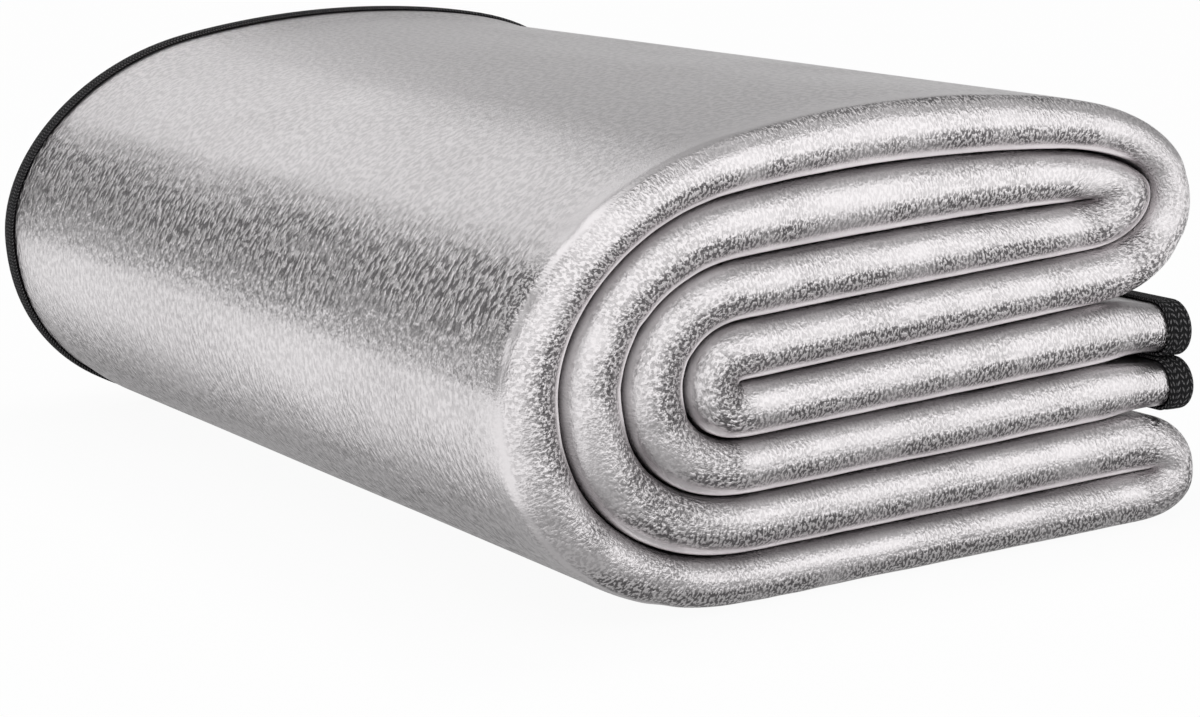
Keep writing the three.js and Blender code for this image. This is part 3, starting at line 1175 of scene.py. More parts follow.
@dataclass(frozen=True)
class FloorFinish:
    """Plain pale studio floor.

    Attributes:
        colour: Colour of the floor.
        roughness: Roughness of the floor.
        glow: How much plain white it shows away from the mat.
        seen_contact: The same right beside the mat, as seen directly.
        seen_reach: How far that zone reaches, in metres.
        mirrored_contact: Brightness of the painted shadow right beside the mat, in reflections.
        mirrored_near: Where that zone begins to fade in front of the mat, in metres.
        mirrored_far: Where it ends in front of the mat, in metres.
        side_squeeze: How many times narrower it is beside the mat.
    """

    colour: Rgb = (0.88, 0.88, 0.88)
    roughness: float = 0.9
    glow: float = 0.97
    seen_contact: float = 0.94
    seen_reach: float = 0.06
    mirrored_contact: float = 0.43
    mirrored_near: float = 0.06
    mirrored_far: float = 0.42
    side_squeeze: float = 7.0

    def build(self, half_width: float, half_depth: float) -> bpy.types.Material:
        """The floor is white to the view and in reflections. Seen directly, a little more of the
        lit floor, with the mat's real shadow, shows beside the mat; in reflections its glow is
        painted darker there, as a painted shadow. Both fade with the distance from the oblong that
        the mat stands on.

        Args:
            half_width: Half the mat's width, in metres.
            half_depth: Half its depth, in metres.

        Returns:
            The material.
        """
        material, bench, shader = new_material("pale floor")
        shader.inputs["Base Color"].default_value = (*self.colour, 1.0)
        shader.inputs["Roughness"].default_value = self.roughness
        shader.inputs["Specular IOR Level"].default_value = 0.0
        place = bench.add("ShaderNodeTexCoord").outputs["Object"]
        size = (half_width, half_depth, 1.0)
        past = bench.vector("SUBTRACT", bench.vector("ABSOLUTE", place).outputs[0], size)
        outside = bench.vector("MAXIMUM", past.outputs[0], (0.0, 0.0, 0.0)).outputs[0]
        away = bench.vector("LENGTH", outside).outputs["Value"]
        seen = bench.blend(bench.ramp(away, 0.0, self.seen_reach), self.seen_contact, self.glow)
        # Painted shadow for reflections: the glow is darker close to the mat.
        squeezed = bench.vector("MULTIPLY", outside, (self.side_squeeze, 1.0, 1.0)).outputs[0]
        away = bench.vector("LENGTH", squeezed).outputs["Value"]
        faded = bench.ramp(away, self.mirrored_near, self.mirrored_far)
        mirrored = bench.blend(faded, self.mirrored_contact, self.glow)
        path = bench.add("ShaderNodeLightPath").outputs
        through = bench.math("MAXIMUM", path["Is Glossy Ray"], path["Is Transmission Ray"])
        share = bench.math("MAXIMUM", bench.math("MULTIPLY", path["Is Camera Ray"], seen), through)
        level = bench.blend(through, 1.0, mirrored)
        white = bench.add("ShaderNodeEmission", {"Color": (1.0, 1.0, 1.0, 1.0), "Strength": level})
        parts = {0: share, 1: shader.outputs[0], 2: white.outputs[0]}
        both = bench.add("ShaderNodeMixShader", parts)
        output = next(node for node in material.node_tree.nodes if node.type == "OUTPUT_MATERIAL")
        material.node_tree.links.new(both.outputs[0], output.inputs["Surface"])
        return material


# ---- The mat ------------------------------------------------------------------------------------


@dataclass(frozen=True)
class SoftCrease:
    """A soft trough, or a ridge where its depth is below 0, pressed into the sheet by hand.

    Attributes:
        leg: Number of the route's leg that it lies on, plus how much of the leg is past.
        off_fold: Distance from the front fold towards the minus face, in mm.
        heading: Direction, in degrees: 0 runs along the mat and 90 runs across it.
        length: Half its length, in mm.
        width: Half its width, in mm.
        depth: How deep it is, in mm.
    """

    leg: float
    off_fold: float
    heading: float
    length: float
    width: float
    depth: float

    def heights(self, along: Array, off_fold: Array) -> Array:
        """Heights of the trough: -depth exp(-(a / length)^2 - (b / width)^2), where a and b are
        the distances from its middle along its heading and across it.

        Args:
            along: Distance along the mat from the trough's middle, (m,).
            off_fold: Distance from the front fold, (k,), in mm.

        Returns:
            An (m, k) array.
        """
        turn = np.radians(self.heading)
        u, v = np.meshgrid(along, off_fold - self.off_fold, indexing="ij")
        a = u * np.cos(turn) + v * np.sin(turn)
        b = v * np.cos(turn) - u * np.sin(turn)
        return -self.depth * np.exp(-((a / self.length) ** 2) - (b / self.width) ** 2)


SOFT_CREASES = (
    # leg, off_fold, heading, length, width, depth
    SoftCrease(5.22, 16, 62, 16, 4.0, 0.55),
    SoftCrease(5.34, 9, 104, 14, 3.4, 0.60),
    SoftCrease(5.43, 18, 75, 20, 4.4, 0.50),
    SoftCrease(5.55, 10, 95, 15, 3.6, 0.65),
    SoftCrease(5.64, 15, 118, 18, 4.0, 0.55),
    SoftCrease(5.76, 8, 80, 13, 3.2, 0.60),
    SoftCrease(5.88, 12, 55, 15, 3.8, 0.45),
    SoftCrease(9.30, 2, 98, 12, 3.2, 0.50),
    SoftCrease(9.52, -1, 78, 12, 3.0, 0.55),
    SoftCrease(9.71, 3, 108, 12, 3.4, 0.50),
    SoftCrease(13.35, 1, 84, 11, 3.0, 0.50),
    SoftCrease(13.62, -2, 102, 11, 3.0, 0.50),
    SoftCrease(1.50, 0, 92, 10, 2.8, 0.45),
    SoftCrease(3.30, 5, 70, 14, 3.4, 0.45),
    SoftCrease(3.58, 2, 110, 13, 3.2, 0.50),
    SoftCrease(7.50, 2, 96, 12, 3.2, 0.45),
    SoftCrease(4.45, 150, 82, 150, 26, -0.55),
    SoftCrease(5.12, 260, 96, 190, 30, 0.60),
    SoftCrease(5.62, 190, 87, 170, 24, -0.50),
)


# The way in which the under sides of the front folds look, in X and Z: down and to the right.
UNDER_SIDE = np.array([0.447, -0.894])

# A layer whose middle is lower than this lies on the ground, in mm.
GROUND_LAYER = 12.0

# Spans of the angle round a front fold, in degrees from its very front, each with how many outline
# points it has.
NOSE_SPANS = ((90.0, 78.0, 3), (78.0, 42.0, 9), (42.0, 0.0, 5))


# How strongly the outside of the stack is crinkled, by the number of the route's leg plus how much
# of the leg is past: smooth on top, crinkled on the shoulder of the bend, smooth again on its side.
CRINKLE_BANDS = (
    # leg, strength
    (0.00, 0.20),
    (3.00, 0.40),
    (4.00, 0.20),
    (4.40, 0.06),
    (5.23, 0.06),
    (5.27, 0.30),
    (5.30, 0.75),
    (5.33, 1.00),
    (5.36, 0.95),
    (5.40, 0.60),
    (5.44, 0.30),
    (5.48, 0.12),
    (5.54, 0.14),
    (5.60, 0.22),
    (5.66, 0.40),
    (5.90, 0.50),
    (15.0, 0.30),
)


class Waves(Enum):
    """Layers of unevenness over the sheet."""

    FOLD_WAVES = Unevenness(17.0, 9.0, 3)
    FOLD_DENTS = Unevenness(7.5, 6.0, 4)
    BROAD = Unevenness(70.0, 120.0, 5)
    MIDDLING = Unevenness(26.0, 60.0, 6)
    CRINKLE_PATCHES = Unevenness(22.0, 40.0, 8)
    CRINKLE_SPOTS = Unevenness(9.0, 15.0, 9)


@dataclass(frozen=True)
class Faces:
    """How the sheet faces at each of its points, as arrays that broadcast to (m, k).

    Attributes:
        forward: How much it looks forward or back, 1 at the very front of a fold.
        shown: 1 on the outer faces, 0 in the slot between the leaves.
        lean: How much it looks down and to the right, from -1 to 1.
        lower: 1 on the lower half of each front fold and 0 on its upper one.
        inside: 1 on the side of a layer that another layer lies against.
        skin: 1 on the outside of the stack, from the middle of the top towards the right.
        x: Place from left to right, in mm of the section's frame.
        bent: 1 in the bends and 0 on the runs between them.
        hollow: 1 on the inner side of a bend, -1 on its outer side.
    """

    forward: Array
    shown: Array
    lean: Array
    lower: Array
    inside: Array
    skin: Array
    x: Array
    bent: Array
    hollow: Array


@dataclass(frozen=True)
class CrinkleMap:
    """How strongly the foil is crinkled, 1 being the strongest. The same strength sets how much
    painted shade the bottoms of the crinkles take.

    Attributes:
        fold: Strength on the front folds.
        under: Strength on their under sides.
        rim: How much stronger it is where the fold meets the top face or the right side.
        in_bend: How much stronger it is on the inner half of a left bend.
        right_share: Share of that in a right bend.
        patches: How far the strength goes up and down in patches.
        spots: The same in spots.
        flat_end: Where, as a face looks forward, the outside's own strength fades.
        fold_start: Where the fold's begins.
        sheltered: How much later it begins on a lower half that lies on another layer.
        stretched: How much later it begins on the outer side of a left bend.
        rim_lead: How much earlier it begins on the outside of the stack.
        rim_end: Where the rim's fades.
        under_start: Where the under side's begins, as a face looks down.
        hollow_start: Where the inner half of a bend begins, as a face looks inwards.
    """

    fold: float = 0.33
    under: float = 1.0
    rim: float = 0.45
    in_bend: float = 0.40
    right_share: float = 0.5
    patches: float = 0.35
    spots: float = 0.45
    flat_end: Fade = Fade(0.12, 0.35)
    fold_start: Fade = Fade(0.38, 0.20)
    sheltered: float = 0.20
    stretched: float = 0.08
    rim_lead: float = 0.30
    rim_end: Fade = Fade(0.45, 0.30)
    under_start: Fade = Fade(0.02, 0.20)
    hollow_start: Fade = Fade(-0.55, 0.80)

    def at(
        self, faces: Faces, nose: Array, squeezed: Array, stations: Stations, across: Array
    ) -> Array:
        """Strength at every point: the outside's bands fade as the face looks forward, and the
        fold's strength, with what the under side, the rim and the bends add, takes over.

        Args:
            faces: How the sheet faces.
            nose: 1 on the front folds.
            squeezed: 1 on the inner side of a bend.
            stations: The stations along the mat.
            across: Length round the outline at each of its points, in mm.

        Returns:
            An (m, k) array from 0 to 1.
        """
        left = faces.x < 0.0
        later = self.sheltered * faces.lower * faces.inside - self.rim_lead * faces.skin
        later = later + self.stretched * faces.bent * (1.0 - squeezed) * left
        facing = self.fold_start.at(faces.forward - later)
        strength = self.fold + (self.under - self.fold) * self.under_start.at(faces.lean)
        strength = strength + self.rim * faces.skin * (1.0 - self.rim_end.at(faces.forward))
        folded = faces.bent * self.hollow_start.at(faces.hollow)
        strength = strength + self.in_bend * folded * np.where(left, 1.0, self.right_share)
        legs, levels = np.array(CRINKLE_BANDS).T
        band = np.interp(stations.leg, legs, levels)[:, None]
        band = band * (1.0 - self.flat_end.at(faces.forward))
        patchy = 1.0 + self.patches * Waves.CRINKLE_PATCHES.value.heights(stations.length, across)
        patchy = patchy + self.spots * Waves.CRINKLE_SPOTS.value.heights(stations.length, across)
        return np.clip((band + strength * nose * facing) * patchy, 0.0, 1.0)


@dataclass(frozen=True)
class CreaseShade:
    """Painted shade on the front folds towards the creases between them, and where the lips beside
    the creases get a painted highlight. Places are given by how much a face looks forward.

    Attributes:
        straight_end: Where the shade of a straight upper half ends.
        straight_fall: How fast it weakens towards there.
        bend_strength: Strength of the shade in a bend, cut off at 1.
        bend_end: Where it ends.
        edge_end: Where the shade of a lower half ends, right beside the crease.
        right_light: How much lighter the shade is at the far end of the right bends.
        right_start: Where that begins, in mm from left to right.
        band: How dark the painted shade is in the band just above a lip.
        band_start: Where it begins.
        band_end: Where it ends.
        band_in_bend: Share of the band that the bends lose.
        lip_start: Where the lip ends towards the front.
    """

    straight_end: Fade = Fade(0.55, 0.24)
    straight_fall: float = 0.50
    bend_strength: float = 1.45
    bend_end: float = 0.80
    edge_end: Fade = Fade(0.20, 0.12)
    right_light: float = 0.5
    right_start: Fade = Fade(125.0, 40.0)
    band: float = 0.24
    band_start: Fade = Fade(0.66, 0.08)
    band_end: Fade = Fade(0.80, 0.14)
    band_in_bend: float = 0.7
    lip_start: Fade = Fade(0.54, 0.12)

    def painted_crease_shade(self, faces: Faces) -> Array:
        """Painted shade towards the creases: on the upper halves it runs from the crease on to
        where they look forward, and the lower halves are painted dark at the very edge and in the
        band.

        Args:
            faces: How the sheet faces.

        Returns:
            An (m, k) array from 0 to 1.
        """
        forward = faces.forward
        straight = (1.0 - self.straight_end.at(forward)) * (1.0 - self.straight_fall * forward)
        in_bend = np.clip(self.bend_strength * (1.0 - forward / self.bend_end), 0.0, 1.0)
        upper = (straight + (in_bend - straight) * faces.bent) * (1.0 - faces.lower)
        edge = (1.0 - self.edge_end.at(forward)) * faces.lower
        lighter = 1.0 - self.right_light * self.right_start.at(faces.x)
        above_lip = self.band_start.at(forward) * (1.0 - self.band_end.at(forward))
        band = self.band * above_lip * faces.lower * (1.0 - self.band_in_bend * faces.bent)
        return ((upper + edge) * lighter + band) * faces.inside * faces.shown

    def lip(self, faces: Faces) -> Array:
        """1 on the lips, which are on the lower halves beside another layer and get a painted
        highlight, (m, k).
        """
        return faces.lower * faces.inside * faces.shown * (1.0 - self.lip_start.at(faces.forward))


@dataclass
class FoilMat:
    """The halved and folded sheet: two leaves joined by the round fold at the front.

    Attributes:
        section: The section of its folds.
        finish: Its finish.
        crinkles: How strongly it is crinkled.
        shade: Painted shade towards the creases and painted highlights on the lips.
        leaf_steps: Outline points back along each leaf, closer together near the front fold.
        pinch_steps: Outline points over the zone in which a leaf thins to its tape.
        slot_stride: How many of the outer face's points the slot has one for.
        slot_steps: Facets of the half round in which the slot ends.
        nose_reach: How far back from the front the fold's own texture reaches, in mm.
        nose_start: Where it begins to fade, 1 being the depth of the fold.
        fold_relief: Height of the waves and of the dents on the front fold, in mm.
        outside_relief: Height of the broad and the middling waves outside the stack, in mm.
        inside_relief: Height of the unevenness between the layers, in mm.
        relief_margin: How far before the pinched zone the unevenness begins to fade, in mm.
        lip_height: How far the rounded lip on the under side of a front fold stands proud, in mm.
        lip_angle: Where the lip is, in degrees round from the very front.
        lip_spread: Half its width, in degrees.
        lip_room: How far back it may reach, 1 being the depth of the fold.
        lower_half: Where the lower half of a fold begins, as its way outwards looks down.
        skin_start: Where the stack's skin begins, in mm from left to right.
        full_bend: Curvatures between which a bend begins to count as one, in 1/mm.
        bend_ease: How many stations soften the curvature on each side.
        squeezed: Where the squeezed side of a bend begins, as a face looks inwards.
        stretched_share: How much a stretched side counts as a bend, 1 being a squeezed side.
    """

    section: FoldedSection
    finish: FoilFinish = field(default_factory=FoilFinish)
    crinkles: CrinkleMap = field(default_factory=CrinkleMap)
    shade: CreaseShade = field(default_factory=CreaseShade)
    leaf_steps: int = 16
    pinch_steps: int = 6
    slot_stride: int = 5
    slot_steps: int = 4
    nose_reach: float = 22.0
    nose_start: float = 0.6
    fold_relief: tuple[float, float] = (0.104, 0.08)
    outside_relief: tuple[float, float] = (0.21, 0.09)
    inside_relief: float = 0.10
    relief_margin: float = 12.0
    lip_height: float = 0.60
    lip_angle: float = 63.0
    lip_spread: float = 10.0
    lip_room: float = 1.5
    lower_half: Fade = Fade(0.0, 0.4)
    skin_start: Fade = Fade(-60.0, 120.0)
    full_bend: Fade = Fade(0.0, 0.025)
    bend_ease: int = 4
    squeezed: Fade = Fade(-0.45, 1.0)
    stretched_share: float = 0.70

    def _leaf_depths(self) -> Array:
        """Depths of the outline points along a leaf's outer face, from its bound edge forwards.

        Between the fold and the pinched zone they lie at shares squared of the way.

        Returns:
            The depths, in mm.
        """
        start, end = SIZES.pinch_start_y, SIZES.pinch_end_y
        shares = np.linspace(1.0, 0.0, self.leaf_steps, endpoint=False)
        run = SIZES.fold_round + (start - SIZES.fold_round) * shares**2
        pinched = np.linspace(end, start, self.pinch_steps, endpoint=False)
        return np.concatenate([[SIZES.depth - SIZES.tape_seat], pinched, run])

    @staticmethod
    def _nose_angles() -> Array:
        """Angles of the outline points round the front fold, closer together at its two lips.

        Returns:
            The angles, from the plus side's 90 degrees to the minus side's, in radians.
        """
        side = np.concatenate([np.linspace(*span, endpoint=False) for span in NOSE_SPANS])
        return np.radians(np.concatenate([side, [0.0], -side[::-1]]))

    def _outline(self, at: Stations) -> dict[str, Array]:
        """The hairpin outline at every station.

        Each leaf's outer face lies half the layer's thickness from the middle, less what the
        tapes pinch away. The front fold is a half ellipse, y = front + (round - front)(1 - cos a)
        and n = face sin a, and the slot between the leaves ends in a small half round.

        Args:
            at: The stations as a column.

        Returns:
            y and n of each point, (m, k), and the way out of the face there, out_y and out_n, (k,).
        """
        deep = self._leaf_depths()
        slot_deep = deep[:: self.slot_stride]
        angles = self._nose_angles()
        slot_angles = np.linspace(-np.pi / 2.0, np.pi / 2.0, self.slot_steps + 1)
        held = smooth((deep - SIZES.pinch_start_y) / SIZES.pinch_length)
        slot_held = smooth((slot_deep - SIZES.pinch_start_y) / SIZES.pinch_length)
        face = at.half - SIZES.tape_seat * np.maximum(at.pinch, held)
        slot = SIZES.leaf_gap / 2.0 + SIZES.tape_seat * np.maximum(at.pinch, slot_held)
        front = SIZES.tape_seat * at.pinch
        fold = at.half - SIZES.tape_seat * at.pinch
        slot_fold = SIZES.leaf_gap / 2.0 + SIZES.tape_seat * at.pinch
        nose_y = front + (SIZES.fold_round - front) * (1.0 - np.cos(angles))
        slot_y = SIZES.fold_round - slot_fold * np.cos(slot_angles)
        rows = len(at.half)
        leaf_y = np.tile(deep, (rows, 1))
        slot_leaf_y = np.tile(slot_deep, (rows, 1))
        y = np.hstack([leaf_y, nose_y, leaf_y[:, ::-1], slot_leaf_y, slot_y, slot_leaf_y[:, ::-1]])
        n = np.hstack([
            face, fold * np.sin(angles), -face[:, ::-1],
            -slot, slot_fold * np.sin(slot_angles), slot[:, ::-1],
        ])
        inner = np.zeros(2 * len(slot_deep) + len(slot_angles))
        flat = np.zeros(len(deep))
        out_y = np.concatenate([flat, -np.cos(angles), flat, inner])
        out_n = np.concatenate([flat + 1.0, np.sin(angles), flat - 1.0, inner])
        return {"y": y, "n": n, "out_y": out_y, "out_n": out_n}

    @staticmethod
    def _grounded(stations: Stations, outline: dict[str, Array]) -> Array:
        """1 where a face lies on the ground, (m, k)."""
        return (stations.middle[:, 1] < GROUND_LAYER)[:, None] * (outline["out_n"] < 0.0)

    def _faces(self, stations: Stations, outline: dict[str, Array]) -> Faces:
        """How the sheet faces, from the way out of it and the layer's curvature.

        Args:
            stations: The stations along the mat.
            outline: What _outline gives.

        Returns:
            The faces' measures at every point.
        """
        side = np.sign(outline["out_n"])
        toward = (stations.reach @ UNDER_SIDE / np.linalg.norm(stations.reach, axis=1))[:, None]
        on_outside = stations.outside[:, None] * (side < 0.0)
        turning = eased(stations.curvature[:, None], self.bend_ease)
        x = stations.middle[:, :1]
        return Faces(
            forward=np.abs(outline["out_y"]),
            shown=(outline["out_n"] ** 2 + outline["out_y"] ** 2) > 0.5,
            lean=toward * outline["out_n"],
            lower=self.lower_half.at(toward * side),
            inside=(1.0 - on_outside) * (1.0 - self._grounded(stations, outline)),
            skin=on_outside * self.skin_start.at(x),
            x=x,
            bent=self.full_bend.at(np.abs(turning)),
            hollow=np.sign(turning) * outline["out_n"],
        )

    def _relief(self, stations: Stations, outline: dict[str, Array], across: Array) -> Array:
        """Height of the sheet's soft unevenness and creases: waves and dents on the front fold,
        broader waves outside the stack, and the soft creases on both, none of it at the tapes.

        Args:
            stations: The stations along the mat.
            outline: What _outline gives.
            across: Length round the outline at each of its points, in mm.

        Returns:
            An (m, k) array, in mm.
        """
        along = stations.length
        waves, dents, broad, middling = (
            layer.value.heights(along, across)
            for layer in (Waves.FOLD_WAVES, Waves.FOLD_DENTS, Waves.BROAD, Waves.MIDDLING)
        )
        y = outline["y"].mean(axis=0)
        nose = 1.0 - smooth((y - SIZES.fold_round) / self.nose_reach)
        free = 1.0 - smooth((y - SIZES.pinch_start_y + self.relief_margin) / SIZES.pinch_length)
        outside = stations.outside[:, None] * (outline["out_n"] < 0.0)
        relief = nose * (self.fold_relief[0] * waves + self.fold_relief[1] * dents)
        swells = self.outside_relief[0] * broad + self.outside_relief[1] * middling
        relief = relief + outside * swells
        relief = relief + self.inside_relief * middling * (1.0 - outside) * (1.0 - nose)
        off_fold = across - across[self._fold_point(outline)]
        for crease in SOFT_CREASES:
            middle = np.interp(crease.leg, stations.leg, along)
            pressed = crease.heights(along - middle, off_fold)
            relief = relief + pressed * np.maximum(nose, outside)
        pressed_flat = self._grounded(stations, outline) * (1.0 - nose)
        return relief * free * (1.0 - stations.pinch[:, None]) * (1.0 - pressed_flat)

    def _lips(self, stations: Stations, outline: dict[str, Array], faces: Faces) -> Array:
        """Height of the rounded lips: lip height exp(-((angle - lip angle) / spread)^2) on the
        lower half of each front fold that lies on another layer.

        Args:
            stations: The stations along the mat.
            outline: What _outline gives.
            faces: How the sheet faces.

        Returns:
            An (m, k) array, in mm.
        """
        angle = np.degrees(np.arcsin(np.clip(np.abs(outline["out_n"]), 0.0, 1.0)))
        bead = np.exp(-(((angle - self.lip_angle) / self.lip_spread) ** 2))
        on_fold = (outline["y"] < SIZES.fold_round * self.lip_room) & (faces.forward > 0.0)
        height = self.lip_height * bead * faces.lower * faces.inside * on_fold
        return height * (1.0 - stations.pinch[:, None])

    @staticmethod
    def _fold_point(outline: dict[str, Array]) -> int:
        """Number of the outline point at the very front of the fold."""
        return int(np.argmin(outline["out_y"]))

    def build(self) -> bpy.types.Object:
        """Carries the hairpin outline along the folded section and adds the soft relief.

        Returns:
            The sheet, with its masks, without a material.
        """
        places = np.concatenate([
            np.arange(SIZES.end_start, SIZES.end_tape_x, self.section.spacing),
            [SIZES.end_tape_x, SIZES.leaf_end_x],
        ])
        stations = self.section.stations(places)
        at = stations.column()
        outline = self._outline(at)
        ring = np.stack([np.median(outline[axis], axis=0) for axis in ("y", "n")], axis=1)
        across = arc_length(ring)
        faces = self._faces(stations, outline)
        relief = self._relief(stations, outline, across) + self._lips(stations, outline, faces)
        y = outline["y"] + relief * outline["out_y"]
        n = outline["n"] + relief * outline["out_n"]
        past_fold = (ring[:, 0] - SIZES.fold_round * self.nose_start) / self.nose_reach
        nose = np.broadcast_to((1.0 - smooth(past_fold)) * faces.shown, y.shape)
        squeezed = self.squeezed.at(faces.hollow)
        bend = faces.bent * (self.stretched_share + (1.0 - self.stretched_share) * squeezed)
        masks = {
            "nose": nose,
            "bend": bend,
            "crinkle": self.crinkles.at(faces, nose, squeezed, stations, across),
            # Where painted shade darkens the folds towards the creases.
            "painted_crease_shade": self.shade.painted_crease_shade(faces),
            # Where the lips get a painted highlight.
            "lip": self.shade.lip(faces),
        }
        return ring_mesh("foil_sheet", at.place(y, n), sheet_uv(stations.length, ring), masks)

    def dress(self, piece: bpy.types.Object, effects: Effects) -> None:
        """Gives the sheet its foil."""
        piece.data.materials.append(self.finish.build(effects))


# ---- The tapes ----------------------------------------------------------------------------------


class Side(Enum):
    """The two leaves of a layer, by the sign of their distance from the layer's middle."""

    INNER = 1.0
    OUTER = -1.0


@dataclass(frozen=True)
class TapeSection:
    """The U of a binding tape over a leaf, as shares that both kinds of tape place in space.

    Attributes:
        corner: Radius of its outer corners, in mm.
        corner_steps: Facets round each of them.
        arm_steps: Facets along the flat of each arm.
        bead_steps: Facets round each arm's free edge.
        leaf_half: Half a layer's usual thickness, from which the nominal outline is measured.
    """

    corner: float = 2.0
    corner_steps: int = 5
    arm_steps: int = 3
    bead_steps: int = 4
    leaf_half: float = 9.0

    def outline(self) -> dict[str, Array]:
        """The U from the outer arm's free edge, round the leaf's edge, to the inner arm and back.

        Returns:
            back: distance in from the tape's closed side, in mm; inset: distance in from the
            outer or the inner face; outer: 1 for points measured from the outer face.
        """
        width, thick, r = SIZES.tape_width, SIZES.tape_thickness, self.corner
        angles = np.linspace(0.0, np.pi / 2.0, self.corner_steps + 1)
        bead = thick / 2.0
        bead_angles = np.linspace(0.0, np.pi, self.bead_steps + 1)
        arm_back = np.linspace(width - bead, r, self.arm_steps + 1)[1:-1]
        flat = np.zeros(len(arm_back))
        back = np.concatenate([
            width - bead + bead * np.sin(bead_angles)[::-1],
            arm_back,
            r - r * np.sin(angles),
            (r - r * np.sin(angles))[::-1],
            arm_back[::-1],
            width - bead + bead * np.sin(bead_angles),
            [thick, thick],
        ])
        inset = np.concatenate([
            bead + bead * np.cos(bead_angles)[::-1],
            flat,
            r - r * np.cos(angles),
            (r - r * np.cos(angles))[::-1],
            flat,
            bead - bead * np.cos(bead_angles),
            [thick, thick],
        ])
        arm = len(bead_angles) + len(arm_back) + len(angles)
        outer = np.concatenate([np.ones(arm), np.zeros(arm), [0.0, 1.0]])
        return {"back": back, "inset": inset, "outer": outer}

    def ring(self) -> Array:
        """The nominal outline.

        Returns:
            A (k, 2) array in mm: distance in from the closed side, and from the layer's middle.
        """
        outline = self.outline()
        offset = layer_offset(np.float64(self.leaf_half), outline)
        return np.stack([outline["back"], offset], axis=1)


def layer_offset(half: Array, outline: dict[str, Array]) -> Array:
    """Distance of each point of a tape's U from its layer's middle.

    Args:
        half: Half the layer's thickness, which broadcasts with the outline.
        outline: What TapeSection.outline gives.

    Returns:
        The half less the inset for the outer arm, and half the leaf gap plus the inset for the
        inner one.
    """
    near = SIZES.leaf_gap / 2.0 + outline["inset"]
    return np.where(outline["outer"] > 0.5, half - outline["inset"], near)


class Tape:
    """What the long tapes and the end tapes share."""

    @staticmethod
    def dress(piece: bpy.types.Object, material: bpy.types.Material) -> None:
        """Gives the tape its weave."""
        piece.data.materials.append(material)


@dataclass
class LongTape(Tape):
    """The tape along one whole long edge of the mat.

    Attributes:
        name: The piece's name.
        side: Which leaf it binds.
        section: The section of the folds.
        shape: The tape's own section.
        end_steps: Stations over the width of an end tape.
    """

    name: str
    side: Side
    section: FoldedSection
    shape: TapeSection = field(default_factory=TapeSection)
    end_steps: int = 16

    def build(self) -> bpy.types.Object:
        """Carries the U along the folded section, closed flat over the leaf at both short ends.

        Returns:
            The tape, without a material.
        """
        places = np.concatenate([
            np.arange(SIZES.end_start, SIZES.end_tape_x, self.section.spacing),
            np.linspace(SIZES.end_tape_x, SIZES.end_x, self.end_steps),
        ])
        stations = self.section.stations(places)
        at = stations.column()
        outline = self.shape.outline()
        number = np.arange(len(stations.half))
        at_end = (np.minimum(number, number[::-1]) < 2)[:, None]
        points = len(outline["back"])
        between_arms = np.arange(points) >= points - 2
        back = np.where(at_end & between_arms, SIZES.tape_width, outline["back"])
        y = SIZES.depth - back
        n = self.side.value * layer_offset(at.half, outline)
        uv = sheet_uv(stations.length, self.shape.ring())
        return ring_mesh(self.name, at.place(y, np.broadcast_to(n, y.shape)), uv, {})


@dataclass
class EndTape(Tape):
    """The tape over one short end of the halved mat, which follows it round the front fold.

    Attributes:
        name: The piece's name.
        leg: The run whose free end it binds.
        section: The section of the folds.
        shape: The tape's own section.
        nose_steps: Facets round the front fold.
        leaf_steps: Facets along each leaf.
    """

    name: str
    leg: Run
    section: FoldedSection
    shape: TapeSection = field(default_factory=TapeSection)
    nose_steps: int = 26
    leaf_steps: int = 12

    def build(self) -> bpy.types.Object:
        """Carries the U along one leaf, round the fold and along the other leaf.

        A point at distance n from the layer's middle keeps it along the leaves. Round the fold it
        moves on the half ellipse y = round - radius cos a and n sin a, whose radius is the fold's
        less the point's inset, or the distance itself on the inner arm.

        Returns:
            The tape, without a material.
        """
        outline = self.shape.outline()
        x = SIZES.end_x - outline["back"]
        margin, samples = 2.0, 20
        places = np.linspace(SIZES.end_tape_x - margin, SIZES.end_x, samples)
        steps = self.section.free_end(self.leg, places)
        height, reach, half = (
            np.interp(x, steps.middle[:, 0], column)
            for column in (steps.middle[:, 1], steps.reach[:, 1], steps.half)
        )
        still = np.zeros_like(x)
        at = Stations(
            middle=np.stack([x, height], axis=1), reach=np.stack([still, reach], axis=1),
            half=half, pinch=still, spread=still, outside=still, leg=still,
        )
        n = layer_offset(at.half, outline)
        radius = np.where(outline["outer"] > 0.5, SIZES.fold_round - outline["inset"], n)
        angles = np.linspace(np.pi / 2.0, -np.pi / 2.0, self.nose_steps + 1)[:, None]
        leaf = np.linspace(SIZES.pinch_start_y, SIZES.fold_round, self.leaf_steps, endpoint=False)
        leaf = np.concatenate([[SIZES.pinch_end_y], leaf])
        leaf_y = np.tile(leaf[:, None], (1, len(x)))
        y = np.vstack([leaf_y, SIZES.fold_round - radius * np.cos(angles), leaf_y[::-1]])
        n = np.vstack([np.tile(n, (len(leaf), 1)), n * np.sin(angles), np.tile(-n, (len(leaf), 1))])
        grid = at.place(y, n)
        along = arc_length(grid.mean(axis=1)) / MM
        return ring_mesh(self.name, grid, sheet_uv(along, self.shape.ring()), {})


# ---- The studio ---------------------------------------------------------------------------------


